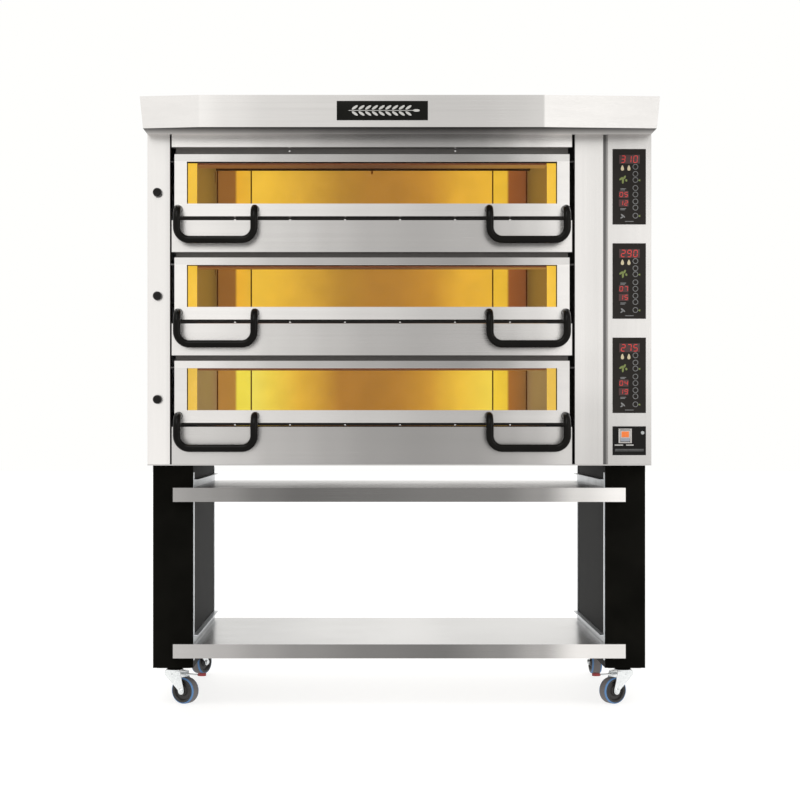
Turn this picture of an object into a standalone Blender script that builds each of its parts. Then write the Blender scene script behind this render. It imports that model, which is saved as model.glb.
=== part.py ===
"""Three-deck electric oven on a wheeled stand. Metres, +Z up, the doors face -Y.

The floor is z = 0 and the origin is below the middle of the whole object.
"""

import math

import bmesh
import bpy
from mathutils import Matrix, Vector

# Driving dimensions of the oven body.
BODY_WIDTH = 1.5
BODY_DEPTH = 0.96
BODY_BOTTOM = 0.7225
BODY_TOP = 1.7085
HOOD_HEIGHT = 0.0935
HOOD_REACH = 0.14
HOOD_END_SETBACK = 0.026
HOOD_FLARE = 0.0095
HOOD_WALL = 0.003
GLAND_REACH = 0.03
COLLAR_HEIGHT = 0.045
SHEET = 0.002
GAP = 0.0003
NAMEPLATE_THICKNESS = 0.003
NOSE_REACH = HOOD_REACH + GAP + NAMEPLATE_THICKNESS
FRONT = NOSE_REACH - (NOSE_REACH + BODY_DEPTH + GLAND_REACH) / 2
REAR = FRONT + BODY_DEPTH
HALF_WIDTH = BODY_WIDTH / 2

HOOD_FOLDS = (-0.586, 0.4205)
NAMEPLATE_X = (-0.184, 0.081)
NAMEPLATE_Z = (1.7286, 1.7844)

# Columns of the front, from left to right.
LEFT_POST_EDGE = -0.683
RIGHT_POST_EDGE = 0.5225
RIGHT_POST_END = 0.606
CONTROL_START = 0.6205
BAY_CENTRE = -0.0815
POST_DEPTH = 0.058
JOINT_COVER_SETBACK = 0.008

# Decks: everything in a deck is placed from the top edge of its door.
DECK_NAMES = ("top_deck", "middle_deck", "bottom_deck")
TOP_DOOR_Z = 1.649
DECK_PITCH = 0.3075
DOOR_TOPS = [TOP_DOOR_Z - index * DECK_PITCH for index in range(len(DECK_NAMES))]
DOOR_WIDTH = 1.176
DOOR_HEIGHT = 0.1845
DOOR_HEAD_DEPTH = 0.036
DOOR_DEPTH = 0.0462
TOP_RAIL = 0.022
BOTTOM_RAIL = 0.0375
STILE = 0.037
GLASS_REBATE = 0.009
GLASS_THICKNESS = 0.005
HINGE_DROP = 0.020
HINGE_SETBACK = 0.014
HINGE_PIN_RADIUS = 0.004
HINGE_HOLE_RADIUS = 0.0046
HINGE_PIN_REACH = 0.006
PANEL_GAP = 0.012
PANEL_HEIGHT = 0.0946
PANEL_DEPTH = 0.044
PANEL_X = (-0.6776, 0.5139)
FASCIA_BOTTOM = 1.6703

# Baking chamber.
CHAMBER_FRONT = FRONT + DOOR_DEPTH + GAP
CHAMBER_HALF_WIDTH = 0.525
CHAMBER_BACK = FRONT + 0.80
CHAMBER_WALL = 0.003
CHAMBER_FLOOR_DROP = 0.190
CHAMBER_RISE = 0.060
SILL_DROP = 0.160
LINTEL_DROP = 0.0254
LINTEL_REAR = FRONT + 0.13
FLANGE_HALF_WIDTH = 0.588
HEARTH_DROP = 0.155
HEARTH_THICKNESS = 0.018
ELEMENT_RADIUS = 0.004
ELEMENT_COUNT = 4
ELEMENT_INSET = 0.08
TOP_ELEMENT_RISE = 0.047
BOTTOM_ELEMENT_DROP = 0.181

# Flue duct and damper rods at the left rear.
DUCT_X = (-0.745, -0.667)
DUCT_Y = (FRONT + 0.64, FRONT + 0.80)
PORT_Y = (FRONT + 0.72, FRONT + 0.77)
PORT_Z = (0.005, 0.045)
KNOB_X = -0.719
KNOB_DROP = 0.115
KNOB_RADIUS = 0.0135
KNOB_LENGTH = 0.022
DAMPER_ROD_RADIUS = 0.004
DAMPER_HOLE_RADIUS = 0.0055
COLLAR_RADIUS = 0.036

# Pull handles.
HANDLE_RADIUS = 0.0112
HANDLE_SPAN = 0.228
HANDLE_REACH = 0.060
HANDLE_HEIGHT = 0.0955
HANDLE_TOP_DROP = 0.164
HANDLE_SIDE_INSET = 0.0125
HANDLE_CORNER = 0.039
HANDLE_SHOULDER = 0.030

# Controls.
CONTROL_CENTRE = 0.684
CONTROL_WIDTH = 0.099
CONTROL_HEIGHT = 0.2245
CONTROL_TOP_Z = 1.6643
CONTROL_PITCH = 0.2806
CONTROL_THICKNESS = 0.0025
SWITCH_Z = (0.7531, 0.8391)
RESET_CAP = (0.7232, 0.8198)
RESET_CAP_RADIUS = 0.0048
BEZEL_REACH = 0.0055
GLAND_BORE = 0.0085
GLAND_STEM_WALL = 0.003
GLAND_NUT_RADIUS = 0.019
GLAND_CAP_RADIUS = 0.0155
ROCKER_CENTRE = (0.6714, 0.8106)
ROCKER_SIZE = (0.029, 0.034)
ROCKER_HALF_DEPTH = 0.006
ROCKER_TILT = math.radians(7)

# Stand.
STAND_FRONT = FRONT + 0.06
STAND_DEPTH = 0.80
LEG_OUTER = 0.740
LEG_INNER = 0.6195
LEG_BOTTOM = 0.1125
LEG_WALL = 0.003
UPPER_SHELF_Z = 0.655
LOWER_SHELF_Z = 0.187
SHELF_FASCIA = 0.042
SHELF_HALF_FASCIA = 0.677
SHELF_NOSE_DEPTH = 0.032
SHELF_HALF_WIDTH = 0.6155
SHELF_DEPTH = 0.79
SHELF_EDGE = 0.020
SHELF_TRAVEL_CLEARANCE = 0.0008
RUNNER_RISE = 0.024
RUNNER_FLANGE = 0.014
RUNNER_WEB = 0.002
UPRIGHT_WIDTH = 0.022
UPRIGHT_Z = (0.135, 0.700)

# Castors.
WHEEL_RADIUS = 0.040
WHEEL_WIDTH = 0.036
AXLE_RADIUS = 0.006
AXLE_CLEARANCE = 0.0004
FORK_TOP = 0.1015
RACE_RADIUS = 0.024
TRAIL = 0.038
FORK_INNER = 0.0205
FORK_PLATE = 0.0025
CASTOR_PLATE = (0.100, 0.085)
CASTOR_X = 0.680
CASTOR_INSET = 0.062
# Name, side, end, direction in which the wheel trails (degrees), and whether it has a brake.
CASTORS = (
    ("front_left", -1, 0, -30, True),
    ("front_right", 1, 0, 210, True),
    ("rear_left", -1, 1, 60, False),
    ("rear_right", 1, 1, 95, False),
)
PEDAL_WIDTH = 0.020
PEDAL_HINGE_TRAIL = 0.006
PEDAL_HINGE_Z = 0.0895
PEDAL_LENGTH = 0.104
PEDAL_THICKNESS = 0.003

TERMINAL_PLATE_X = (0.597, 0.600)
CONTACTOR_Z = 1.12
CONTACTOR_PITCH = 0.13
CONTACTOR_HEIGHT = 0.085

# Colours: base colour, metallic value and roughness.
FINISHES = {
    "brushed_steel": ((0.62, 0.61, 0.59), 1.0, 0.32),
    "galvanised_steel": ((0.55, 0.56, 0.57), 1.0, 0.45),
    "zinc_plate": ((0.63, 0.64, 0.66), 1.0, 0.28),
    "black_steel": ((0.012, 0.012, 0.010), 0.0, 0.42),
    "black_plastic": ((0.02, 0.02, 0.02), 0.0, 0.35),
    "enamel": ((0.42, 0.25, 0.08), 0.3, 0.45),
    "glass": ((0.85, 0.88, 0.86), 0.0, 0.03),
    "stone": ((0.62, 0.55, 0.45), 0.0, 0.85),
    "insulation": ((0.78, 0.74, 0.62), 0.0, 0.95),
    "element": ((0.10, 0.09, 0.085), 0.8, 0.5),
    "display": ((0.030, 0.027, 0.024), 0.0, 0.3),
    "orange_plastic": ((0.95, 0.35, 0.04), 0.0, 0.3),
    "red_plastic": ((0.20, 0.015, 0.015), 0.0, 0.5),
    "blue_rubber": ((0.05, 0.20, 0.45), 0.0, 0.6),
    "grey_plastic": ((0.55, 0.56, 0.56), 0.0, 0.5),
}


def clear_scene():
    for item in list(bpy.data.objects):
        bpy.data.objects.remove(item, do_unlink=True)


def finish(name):
    """A Principled material with the named colour, metallic value and roughness."""
    found = bpy.data.materials.get(name)
    if found:
        return found
    colour, metallic, roughness = FINISHES[name]
    material = bpy.data.materials.new(name)
    material.use_nodes = True
    shader = material.node_tree.nodes["Principled BSDF"]
    shader.inputs["Base Color"].default_value = (*colour, 1.0)
    shader.inputs["Metallic"].default_value = metallic
    shader.inputs["Roughness"].default_value = roughness
    material.diffuse_color = (*colour, 1.0)
    return material


clear_scene()
PARTS = bpy.data.collections.new("deck_oven")
bpy.context.scene.collection.children.link(PARTS)


def mesh_of(shape):
    mesh = bpy.data.meshes.new("shape")
    shape.to_mesh(mesh)
    shape.free()
    return mesh


def box_mesh(x, y, z):
    """A box that spans the three given ranges."""
    shape = bmesh.new()
    bmesh.ops.create_cube(shape, size=1.0)
    bmesh.ops.scale(shape, vec=[span[1] - span[0] for span in (x, y, z)], verts=shape.verts)
    middle = [(span[1] + span[0]) / 2 for span in (x, y, z)]
    bmesh.ops.translate(shape, vec=middle, verts=shape.verts)
    return mesh_of(shape)


def round_mesh(start, end, radius, sides=16):
    """A round bar from one point to another."""
    start = Vector(start)
    end = Vector(end)
    turn = (end - start).to_track_quat("Z", "Y").to_matrix().to_4x4()
    shape = bmesh.new()
    bmesh.ops.create_cone(
        shape,
        cap_ends=True,
        segments=sides,
        radius1=radius,
        radius2=radius,
        depth=(end - start).length,
        matrix=Matrix.Translation((start + end) / 2) @ turn,
    )
    return mesh_of(shape)


def arc(centre, radius, start, end, steps):
    """Points in a plane from one angle to another, in degrees."""
    points = []
    for step in range(steps + 1):
        angle = math.radians(start + (end - start) * step / steps)
        points.append((centre[0] + radius * math.cos(angle), centre[1] + radius * math.sin(angle)))
    return points


def solid_from_curve(curve, matrix):
    """The closed mesh of a filled or bevelled curve."""
    helper = bpy.data.objects.new("curve_helper", curve)
    bpy.context.scene.collection.objects.link(helper)
    graph = bpy.context.evaluated_depsgraph_get()
    mesh = bpy.data.meshes.new_from_object(helper.evaluated_get(graph))
    bpy.data.objects.remove(helper, do_unlink=True)
    bpy.data.curves.remove(curve)
    shape = bmesh.new()
    shape.from_mesh(mesh)
    bpy.data.meshes.remove(mesh)
    bmesh.ops.remove_doubles(shape, verts=shape.verts, dist=0.00001)
    bmesh.ops.recalc_face_normals(shape, faces=shape.faces)
    bmesh.ops.transform(shape, matrix=matrix, verts=shape.verts)
    return mesh_of(shape)


def outline_mesh(points, thickness, matrix):
    """A flat outline given half its thickness each way."""
    curve = bpy.data.curves.new("outline", "CURVE")
    curve.dimensions = "2D"
    curve.fill_mode = "BOTH"
    curve.extrude = thickness / 2
    spline = curve.splines.new("POLY")
    spline.points.add(len(points) - 1)
    for point, (x, y) in zip(spline.points, points):
        point.co = (x, y, 0, 1)
    spline.use_cyclic_u = True
    return solid_from_curve(curve, matrix)


def tube_mesh(points, radius):
    """A round tube with closed ends along a path."""
    curve = bpy.data.curves.new("path", "CURVE")
    curve.dimensions = "3D"
    curve.bevel_depth = radius
    curve.bevel_resolution = 2
    curve.use_fill_caps = True
    spline = curve.splines.new("POLY")
    spline.points.add(len(points) - 1)
    for point, spot in zip(spline.points, points):
        point.co = (*spot, 1)
    return solid_from_curve(curve, Matrix.Identity(4))


def carved(base, joins=(), cuts=()):
    """The base mesh joined with some solids and cut by others."""
    body = bpy.data.objects.new("carving", base)
    bpy.context.scene.collection.objects.link(body)
    helpers = []
    for operation, meshes in (("UNION", joins), ("DIFFERENCE", cuts)):
        for mesh in meshes:
            helper = bpy.data.objects.new("carving_tool", mesh)
            bpy.context.scene.collection.objects.link(helper)
            modifier = body.modifiers.new("carve", "BOOLEAN")
            modifier.operation = operation
            modifier.solver = "EXACT"
            modifier.object = helper
            helpers.append(helper)
    graph = bpy.context.evaluated_depsgraph_get()
    result = bpy.data.meshes.new_from_object(body.evaluated_get(graph))
    for helper in [body, *helpers]:
        bpy.data.objects.remove(helper, do_unlink=True)
    return result


def empty_at(name, position, turn=0.0):
    """A point on a joint's axis, which carries the pieces that move about it."""
    empty = bpy.data.objects.new(name, None)
    PARTS.objects.link(empty)
    empty.location = position
    empty.rotation_euler.z = turn
    return empty


def part(name, mesh, material, origin=None, parent=None):
    """A named part from a mesh in world coordinates, with its origin at a given point or its own middle."""
    if origin is None:
        corners = [vertex.co for vertex in mesh.vertices]
        low = Vector([min(corner[axis] for corner in corners) for axis in range(3)])
        high = Vector([max(corner[axis] for corner in corners) for axis in range(3)])
        origin = (low + high) / 2
    mesh.transform(Matrix.Translation(-Vector(origin)))
    return attach(name, mesh, material, Vector(origin) - (parent.location if parent else Vector()), parent)


def attach(name, mesh, material, location=(0, 0, 0), parent=None):
    """A named part from a mesh in its own coordinates, placed in its parent's."""
    mesh.name = name
    mesh.materials.clear()
    mesh.materials.append(finish(material))
    mesh.shade_smooth()
    mesh.set_sharp_from_angle(angle=math.radians(35))
    made = bpy.data.objects.new(name, mesh)
    PARTS.objects.link(made)
    made.parent = parent
    made.location = location
    return made


def soften(made, width):
    modifier = made.modifiers.new("rounded_edges", "BEVEL")
    modifier.width = width
    modifier.segments = 2
    modifier.limit_method = "ANGLE"
    modifier.angle_limit = math.radians(40)


# ---- Casing -------------------------------------------------------------------------------------

BASE_TOP = BODY_BOTTOM + 0.003
CASING_Z = (BASE_TOP + GAP, BODY_TOP)
SIDE_Y = (FRONT + POST_DEPTH + GAP, REAR)
HOOD_Z = (BODY_TOP + GAP, BODY_TOP + GAP + HOOD_HEIGHT)
CHAMBER_OUTER_HALF = CHAMBER_HALF_WIDTH + CHAMBER_WALL
GLAND = (0.69, 0.80)
COLLAR_CENTRE = (sum(DUCT_X) / 2, sum(DUCT_Y) / 2)


def folded_front(x, z, depth, cuts=()):
    """A sheet-metal front with its edges folded back, open behind."""
    hollow = box_mesh(
        (x[0] + SHEET, x[1] - SHEET), (FRONT + SHEET, FRONT + depth + 0.01), (z[0] + SHEET, z[1] - SHEET)
    )
    return carved(box_mesh(x, (FRONT, FRONT + depth), z), cuts=[hollow, *cuts])


def build_sheets():
    base = box_mesh((-HALF_WIDTH, HALF_WIDTH), (FRONT, REAR), (BODY_BOTTOM, BASE_TOP))
    part("base_panel", base, "brushed_steel")
    left = box_mesh((-HALF_WIDTH, -HALF_WIDTH + SHEET), SIDE_Y, CASING_Z)
    part("left_side_panel", left, "brushed_steel")
    right = box_mesh((HALF_WIDTH - SHEET, HALF_WIDTH), SIDE_Y, CASING_Z)
    part("right_side_panel", right, "brushed_steel")
    inner = HALF_WIDTH - SHEET - GAP
    near = (GLAND[0], REAR - 0.02, GLAND[1])
    far = (GLAND[0], REAR + 0.02, GLAND[1])
    cable_hole = round_mesh(near, far, GLAND_BORE + GLAND_STEM_WALL + 0.001)
    rear = carved(box_mesh((-inner, inner), (REAR - SHEET, REAR), CASING_Z), cuts=[cable_hole])
    part("rear_panel", rear, "galvanised_steel")


def hood_block(inset, z):
    """The hood's outline in plan, with its sides leaning out towards the top."""
    half = HALF_WIDTH - inset
    nose = FRONT - HOOD_REACH + inset
    points = [
        (-half, REAR - inset),
        (-half, nose + HOOD_END_SETBACK),
        (HOOD_FOLDS[0], nose),
        (HOOD_FOLDS[1], nose),
        (half, nose + HOOD_END_SETBACK),
        (half, REAR - inset),
    ]
    middle = Matrix.Translation((0, 0, (z[0] + z[1]) / 2))
    mesh = outline_mesh(points, z[1] - z[0], middle)
    for vertex in mesh.vertices:
        if vertex.co.z > (z[0] + z[1]) / 2 and abs(vertex.co.x) > half - 0.001:
            vertex.co.x += math.copysign(HOOD_FLARE, vertex.co.x)
    return mesh


def build_hood():
    hollow = hood_block(HOOD_WALL, (HOOD_Z[0] + HOOD_WALL, HOOD_Z[1] - HOOD_WALL))
    opening = box_mesh(
        (-HALF_WIDTH + 0.005, HALF_WIDTH - 0.005),
        (FRONT + 0.012, REAR - 0.004),
        (HOOD_Z[0] - 0.01, HOOD_Z[0] + 0.02),
    )
    below = (*COLLAR_CENTRE, HOOD_Z[1] - 0.02)
    above = (*COLLAR_CENTRE, HOOD_Z[1] + 0.02)
    pipe_hole = round_mesh(below, above, COLLAR_RADIUS + GAP, 24)
    hood = carved(hood_block(0, HOOD_Z), cuts=[hollow, opening, pipe_hole])
    part("hood_canopy", hood, "brushed_steel")
    y = (FRONT - HOOD_REACH - GAP - NAMEPLATE_THICKNESS, FRONT - HOOD_REACH - GAP)
    soften(part("nameplate", box_mesh(NAMEPLATE_X, y, NAMEPLATE_Z), "black_plastic"), 0.0008)


def build_posts():
    x = (-HALF_WIDTH, LEFT_POST_EDGE)
    cuts = []
    for top in DOOR_TOPS:
        z = top - KNOB_DROP
        near = (KNOB_X, FRONT - 0.01, z)
        cuts.append(round_mesh(near, (KNOB_X, FRONT + 0.01, z), DAMPER_HOLE_RADIUS, 12))
        cuts.append(hinge_bar(LEFT_POST_EDGE - 0.01, LEFT_POST_EDGE + 0.01, top, HINGE_HOLE_RADIUS))
    part("left_front_post", folded_front(x, CASING_Z, POST_DEPTH, cuts), "brushed_steel")
    hole_x = (RIGHT_POST_EDGE - 0.01, RIGHT_POST_EDGE + 0.01)
    cuts = [hinge_bar(*hole_x, top, HINGE_HOLE_RADIUS) for top in DOOR_TOPS]
    right = folded_front((RIGHT_POST_EDGE, RIGHT_POST_END), CASING_Z, POST_DEPTH, cuts)
    part("right_front_post", right, "brushed_steel")


def hinge_bar(start, end, door_top, radius):
    y = FRONT + HINGE_SETBACK
    z = door_top - HINGE_DROP
    return round_mesh((start, y, z), (end, y, z), radius, 12)


def build_control_column():
    cover_y = (FRONT + JOINT_COVER_SETBACK, FRONT + JOINT_COVER_SETBACK + SHEET)
    joint_cover = box_mesh((RIGHT_POST_END + GAP, CONTROL_START + 0.001), cover_y, CASING_Z)
    x, z = ROCKER_CENTRE
    switch_hole = box_mesh(
        (x - ROCKER_SIZE[0] / 2 - 0.002, x + ROCKER_SIZE[0] / 2 + 0.002),
        (FRONT - 0.01, FRONT + 0.03),
        (z - ROCKER_SIZE[1] / 2 - 0.002, z + ROCKER_SIZE[1] / 2 + 0.002),
    )
    column = folded_front((CONTROL_START, HALF_WIDTH), CASING_Z, POST_DEPTH, [switch_hole])
    part("control_column_fascia", carved(column, joins=[joint_cover]), "brushed_steel")


def build_fascia():
    x = (PANEL_X[0], PANEL_X[1])
    part("top_fascia", folded_front(x, (FASCIA_BOTTOM, BODY_TOP), PANEL_DEPTH), "brushed_steel")
    for name, top in zip(DECK_NAMES, DOOR_TOPS):
        upper = top - DOOR_HEIGHT - PANEL_GAP
        lower = upper - PANEL_HEIGHT
        if name == DECK_NAMES[-1]:
            lower = CASING_Z[0]
        part(f"{name}_front_panel", folded_front(x, (lower, upper), PANEL_DEPTH), "brushed_steel")


# ---- Baking chambers ----------------------------------------------------------------------------


def across(half):
    """A range of X on both sides of the middle of the doors."""
    return (BAY_CENTRE - half, BAY_CENTRE + half)


def build_chamber(name, top):
    floor = top - CHAMBER_FLOOR_DROP
    ceiling = top + CHAMBER_RISE
    outer_z = (floor - CHAMBER_WALL, ceiling + CHAMBER_WALL)
    shell = box_mesh(across(CHAMBER_OUTER_HALF), (CHAMBER_FRONT, CHAMBER_BACK + CHAMBER_WALL), outer_z)
    flange = box_mesh(across(FLANGE_HALF_WIDTH), (CHAMBER_FRONT, CHAMBER_FRONT + CHAMBER_WALL), outer_z)
    inside = across(CHAMBER_HALF_WIDTH)
    main = box_mesh(inside, (LINTEL_REAR, CHAMBER_BACK), (floor, ceiling))
    mouth = box_mesh(inside, (FRONT, LINTEL_REAR + 0.01), (top - SILL_DROP, top - LINTEL_DROP))
    mouth_y = (CHAMBER_FRONT + CHAMBER_WALL, LINTEL_REAR + 0.01)
    hearth_room = box_mesh(inside, mouth_y, (floor, top - HEARTH_DROP))
    lintel_hollow = box_mesh(
        inside,
        (CHAMBER_FRONT + CHAMBER_WALL, LINTEL_REAR - CHAMBER_WALL),
        (top - LINTEL_DROP + CHAMBER_WALL, ceiling + 0.02),
    )
    wall = BAY_CENTRE - CHAMBER_HALF_WIDTH
    port = box_mesh((wall - 0.01, wall + 0.01), PORT_Y, (top + PORT_Z[0], top + PORT_Z[1]))
    slots = element_slots((inside[1] - 0.01, inside[1] + CHAMBER_WALL + 0.01))
    chamber = carved(shell, joins=[flange], cuts=[main, mouth, hearth_room, lintel_hollow, port, *slots])
    part(f"{name}_chamber", chamber, "enamel")


def build_hearth(name, top):
    """A stone baking sole with a joint line across its middle."""
    y = (CHAMBER_FRONT + CHAMBER_WALL + 0.003, CHAMBER_BACK - 0.003)
    surface = top - HEARTH_DROP
    slab = box_mesh(across(CHAMBER_HALF_WIDTH - 0.002), y, (surface - HEARTH_THICKNESS, surface))
    joint = box_mesh(across(0.001), (y[0] - 0.01, y[1] + 0.01), (surface - 0.004, surface + 0.01))
    part(f"{name}_hearth", carved(slab, cuts=[joint]), "stone")


def element_places():
    """The (y, z) of every heating bar, over and under each hearth."""
    first = LINTEL_REAR + ELEMENT_INSET
    step = (CHAMBER_BACK - ELEMENT_INSET - first) / (ELEMENT_COUNT - 1)
    for top in DOOR_TOPS:
        for height in (top + TOP_ELEMENT_RISE, top - BOTTOM_ELEMENT_DROP):
            for index in range(ELEMENT_COUNT):
                yield first + index * step, height


def element_slots(x):
    """Clearance through a wall for each row of heating bars."""
    slots = []
    for top in DOOR_TOPS:
        for height in (top + TOP_ELEMENT_RISE, top - BOTTOM_ELEMENT_DROP):
            half = ELEMENT_RADIUS + GAP
            y = (LINTEL_REAR + ELEMENT_INSET - 0.01, CHAMBER_BACK - ELEMENT_INSET + 0.01)
            slots.append(box_mesh(x, y, (height - half, height + half)))
    return slots


def build_elements():
    """Bars across the chambers, with the plate on the control side that carries their terminals."""
    plate_z = (CASING_Z[0] + 0.01, CASING_Z[1] - 0.001)
    plate = box_mesh(TERMINAL_PLATE_X, (FRONT + 0.07, CHAMBER_BACK + 0.05), plate_z)
    start = BAY_CENTRE - CHAMBER_HALF_WIDTH + 0.004
    bars = [
        round_mesh((start, y, z), (TERMINAL_PLATE_X[0] + 0.001, y, z), ELEMENT_RADIUS, 8)
        for y, z in element_places()
    ]
    part("heating_elements", carved(plate, joins=bars), "element")


def build_insulation():
    """One pack around the three chambers, open to the front where the chambers slide in."""
    back = CHAMBER_BACK + CHAMBER_WALL
    x = (DUCT_X[1] + 0.003, TERMINAL_PLATE_X[0] - 0.002)
    y = (FRONT + POST_DEPTH + 0.004, back + 0.1)
    pack = box_mesh(x, y, (BASE_TOP + 0.003, BODY_TOP + 0.05))
    cuts = element_slots((BAY_CENTRE + CHAMBER_HALF_WIDTH, x[1] + 0.01))
    clearance = CHAMBER_WALL + 0.001
    for top in DOOR_TOPS:
        z = (top - CHAMBER_FLOOR_DROP - clearance, top + CHAMBER_RISE + clearance)
        cuts.append(box_mesh(across(CHAMBER_OUTER_HALF + 0.001), (y[0] - 0.01, back + 0.001), z))
        port_z = (top + PORT_Z[0], top + PORT_Z[1])
        cuts.append(box_mesh((x[0] - 0.01, BAY_CENTRE), PORT_Y, port_z))
    part("insulation_pack", carved(pack, cuts=cuts), "insulation")


def build_flue():
    z = (DOOR_TOPS[-1] - KNOB_DROP - 0.03, HOOD_Z[1] - HOOD_WALL - GAP)
    inside = box_mesh(
        (DUCT_X[0] + SHEET, DUCT_X[1] - SHEET),
        (DUCT_Y[0] + SHEET, DUCT_Y[1] - SHEET),
        (z[0] + SHEET, z[1] - SHEET),
    )
    cuts = [inside]
    for top in DOOR_TOPS:
        port_z = (top + PORT_Z[0], top + PORT_Z[1])
        cuts.append(box_mesh((DUCT_X[1] - 0.01, DUCT_X[1] + 0.01), PORT_Y, port_z))
        rod = top - KNOB_DROP
        near = (KNOB_X, DUCT_Y[0] - 0.01, rod)
        cuts.append(round_mesh(near, (KNOB_X, DUCT_Y[0] + 0.01, rod), DAMPER_HOLE_RADIUS, 12))
    collar_top = (*COLLAR_CENTRE, HOOD_Z[1] + COLLAR_HEIGHT)
    outlet = round_mesh((*COLLAR_CENTRE, z[1] - 0.001), collar_top, COLLAR_RADIUS, 24)
    cuts.append(round_mesh((*COLLAR_CENTRE, z[1] - 0.02), (*COLLAR_CENTRE, 2), COLLAR_RADIUS - SHEET, 24))
    part("flue_duct", carved(box_mesh(DUCT_X, DUCT_Y, z), joins=[outlet], cuts=cuts), "galvanised_steel")


def build_damper(name, top):
    """Knob, long rod and the blade that covers the deck's flue port."""
    z = top - KNOB_DROP
    knob = round_mesh((KNOB_X, FRONT - KNOB_LENGTH, z), (KNOB_X, FRONT - 0.0006, z), KNOB_RADIUS, 20)
    rod = round_mesh((KNOB_X, FRONT - 0.004, z), (KNOB_X, PORT_Y[1], z), DAMPER_ROD_RADIUS, 12)
    blade_x = DUCT_X[1] - SHEET - 0.0035
    web = box_mesh((KNOB_X, blade_x), (PORT_Y[0], PORT_Y[1]), (z - 0.0015, z + 0.0015))
    blade = box_mesh(
        (blade_x - SHEET / 2, blade_x + SHEET / 2),
        (PORT_Y[0] - 0.008, PORT_Y[1] + 0.008),
        (z - 0.006, top + PORT_Z[1] + 0.006),
    )
    damper = carved(knob, joins=[rod, web, blade])
    part(f"{name}_damper_knob", damper, "black_plastic", (KNOB_X, FRONT, z))


# ---- Doors --------------------------------------------------------------------------------------


def build_door(name, top):
    """A framed glass door that hangs on pins near its top edge and swings out and up."""
    hinge = empty_at(f"{name}_door_hinge", (BAY_CENTRE, FRONT + HINGE_SETBACK, top - HINGE_DROP))
    half = DOOR_WIDTH / 2
    bottom = top - DOOR_HEIGHT
    window_half = half - STILE
    window_z = (bottom + BOTTOM_RAIL, top - TOP_RAIL)
    head_relief = box_mesh(
        across(half + 0.01), (FRONT + DOOR_HEAD_DEPTH, FRONT + 0.06), (top - HINGE_DROP - 0.012, top + 0.01)
    )
    window = box_mesh(across(window_half), (FRONT - 0.01, FRONT + 0.06), window_z)
    rebate_z = (window_z[0] - GLASS_REBATE, window_z[1] + GLASS_REBATE)
    rebate = box_mesh(across(window_half + GLASS_REBATE), (FRONT + 0.003, FRONT + 0.06), rebate_z)
    pins = [
        hinge_bar(LEFT_POST_EDGE - HINGE_PIN_REACH, BAY_CENTRE - half + 0.005, top, HINGE_PIN_RADIUS),
        hinge_bar(BAY_CENTRE + half - 0.005, RIGHT_POST_EDGE + HINGE_PIN_REACH, top, HINGE_PIN_RADIUS),
    ]
    slab = box_mesh(across(half), (FRONT, FRONT + DOOR_DEPTH), (bottom, top))
    frame = carved(slab, joins=pins, cuts=[head_relief, window, rebate])
    part(f"{name}_door_frame", frame, "brushed_steel", hinge.location, hinge)

    pane_z = (rebate_z[0] + GAP, rebate_z[1] - GAP)
    near = FRONT + 0.003 + GAP
    far = FRONT + DOOR_HEAD_DEPTH - GAP
    pane_half = window_half + GLASS_REBATE - GAP
    unit = box_mesh(across(pane_half), (near, far), pane_z)
    air_gap = box_mesh(
        across(window_half + 0.002),
        (near + GLASS_THICKNESS, far - GLASS_THICKNESS),
        (pane_z[0] - 0.01, pane_z[1] + 0.01),
    )
    part(f"{name}_door_glass", carved(unit, cuts=[air_gap]), "glass", hinge.location, hinge)

    outer = half - HANDLE_SIDE_INSET
    for side, left in (("left", BAY_CENTRE - outer), ("right", BAY_CENTRE + outer - HANDLE_SPAN)):
        handle = tube_mesh(handle_path(left, top), HANDLE_RADIUS)
        part(f"{name}_{side}_handle", handle, "black_steel", hinge.location, hinge)


def handle_path(left, top):
    """From the door forwards, down, across, and back up to the door."""
    z = top - HANDLE_TOP_DROP
    grip = z - HANDLE_HEIGHT
    front = FRONT - HANDLE_REACH
    shoulder = arc((front + HANDLE_SHOULDER, z - HANDLE_SHOULDER), HANDLE_SHOULDER, 90, 180, 4)
    corner = arc((left + HANDLE_CORNER, grip + HANDLE_CORNER), HANDLE_CORNER, 180, 270, 5)
    half = [(left, FRONT - GAP, z)]
    half += [(left, y, height) for y, height in shoulder]
    half += [(x, front, height) for x, height in corner]
    middle = left + HANDLE_SPAN / 2
    return half + [(2 * middle - x, y, height) for x, y, height in reversed(half)]


# ---- Controls -----------------------------------------------------------------------------------


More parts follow.
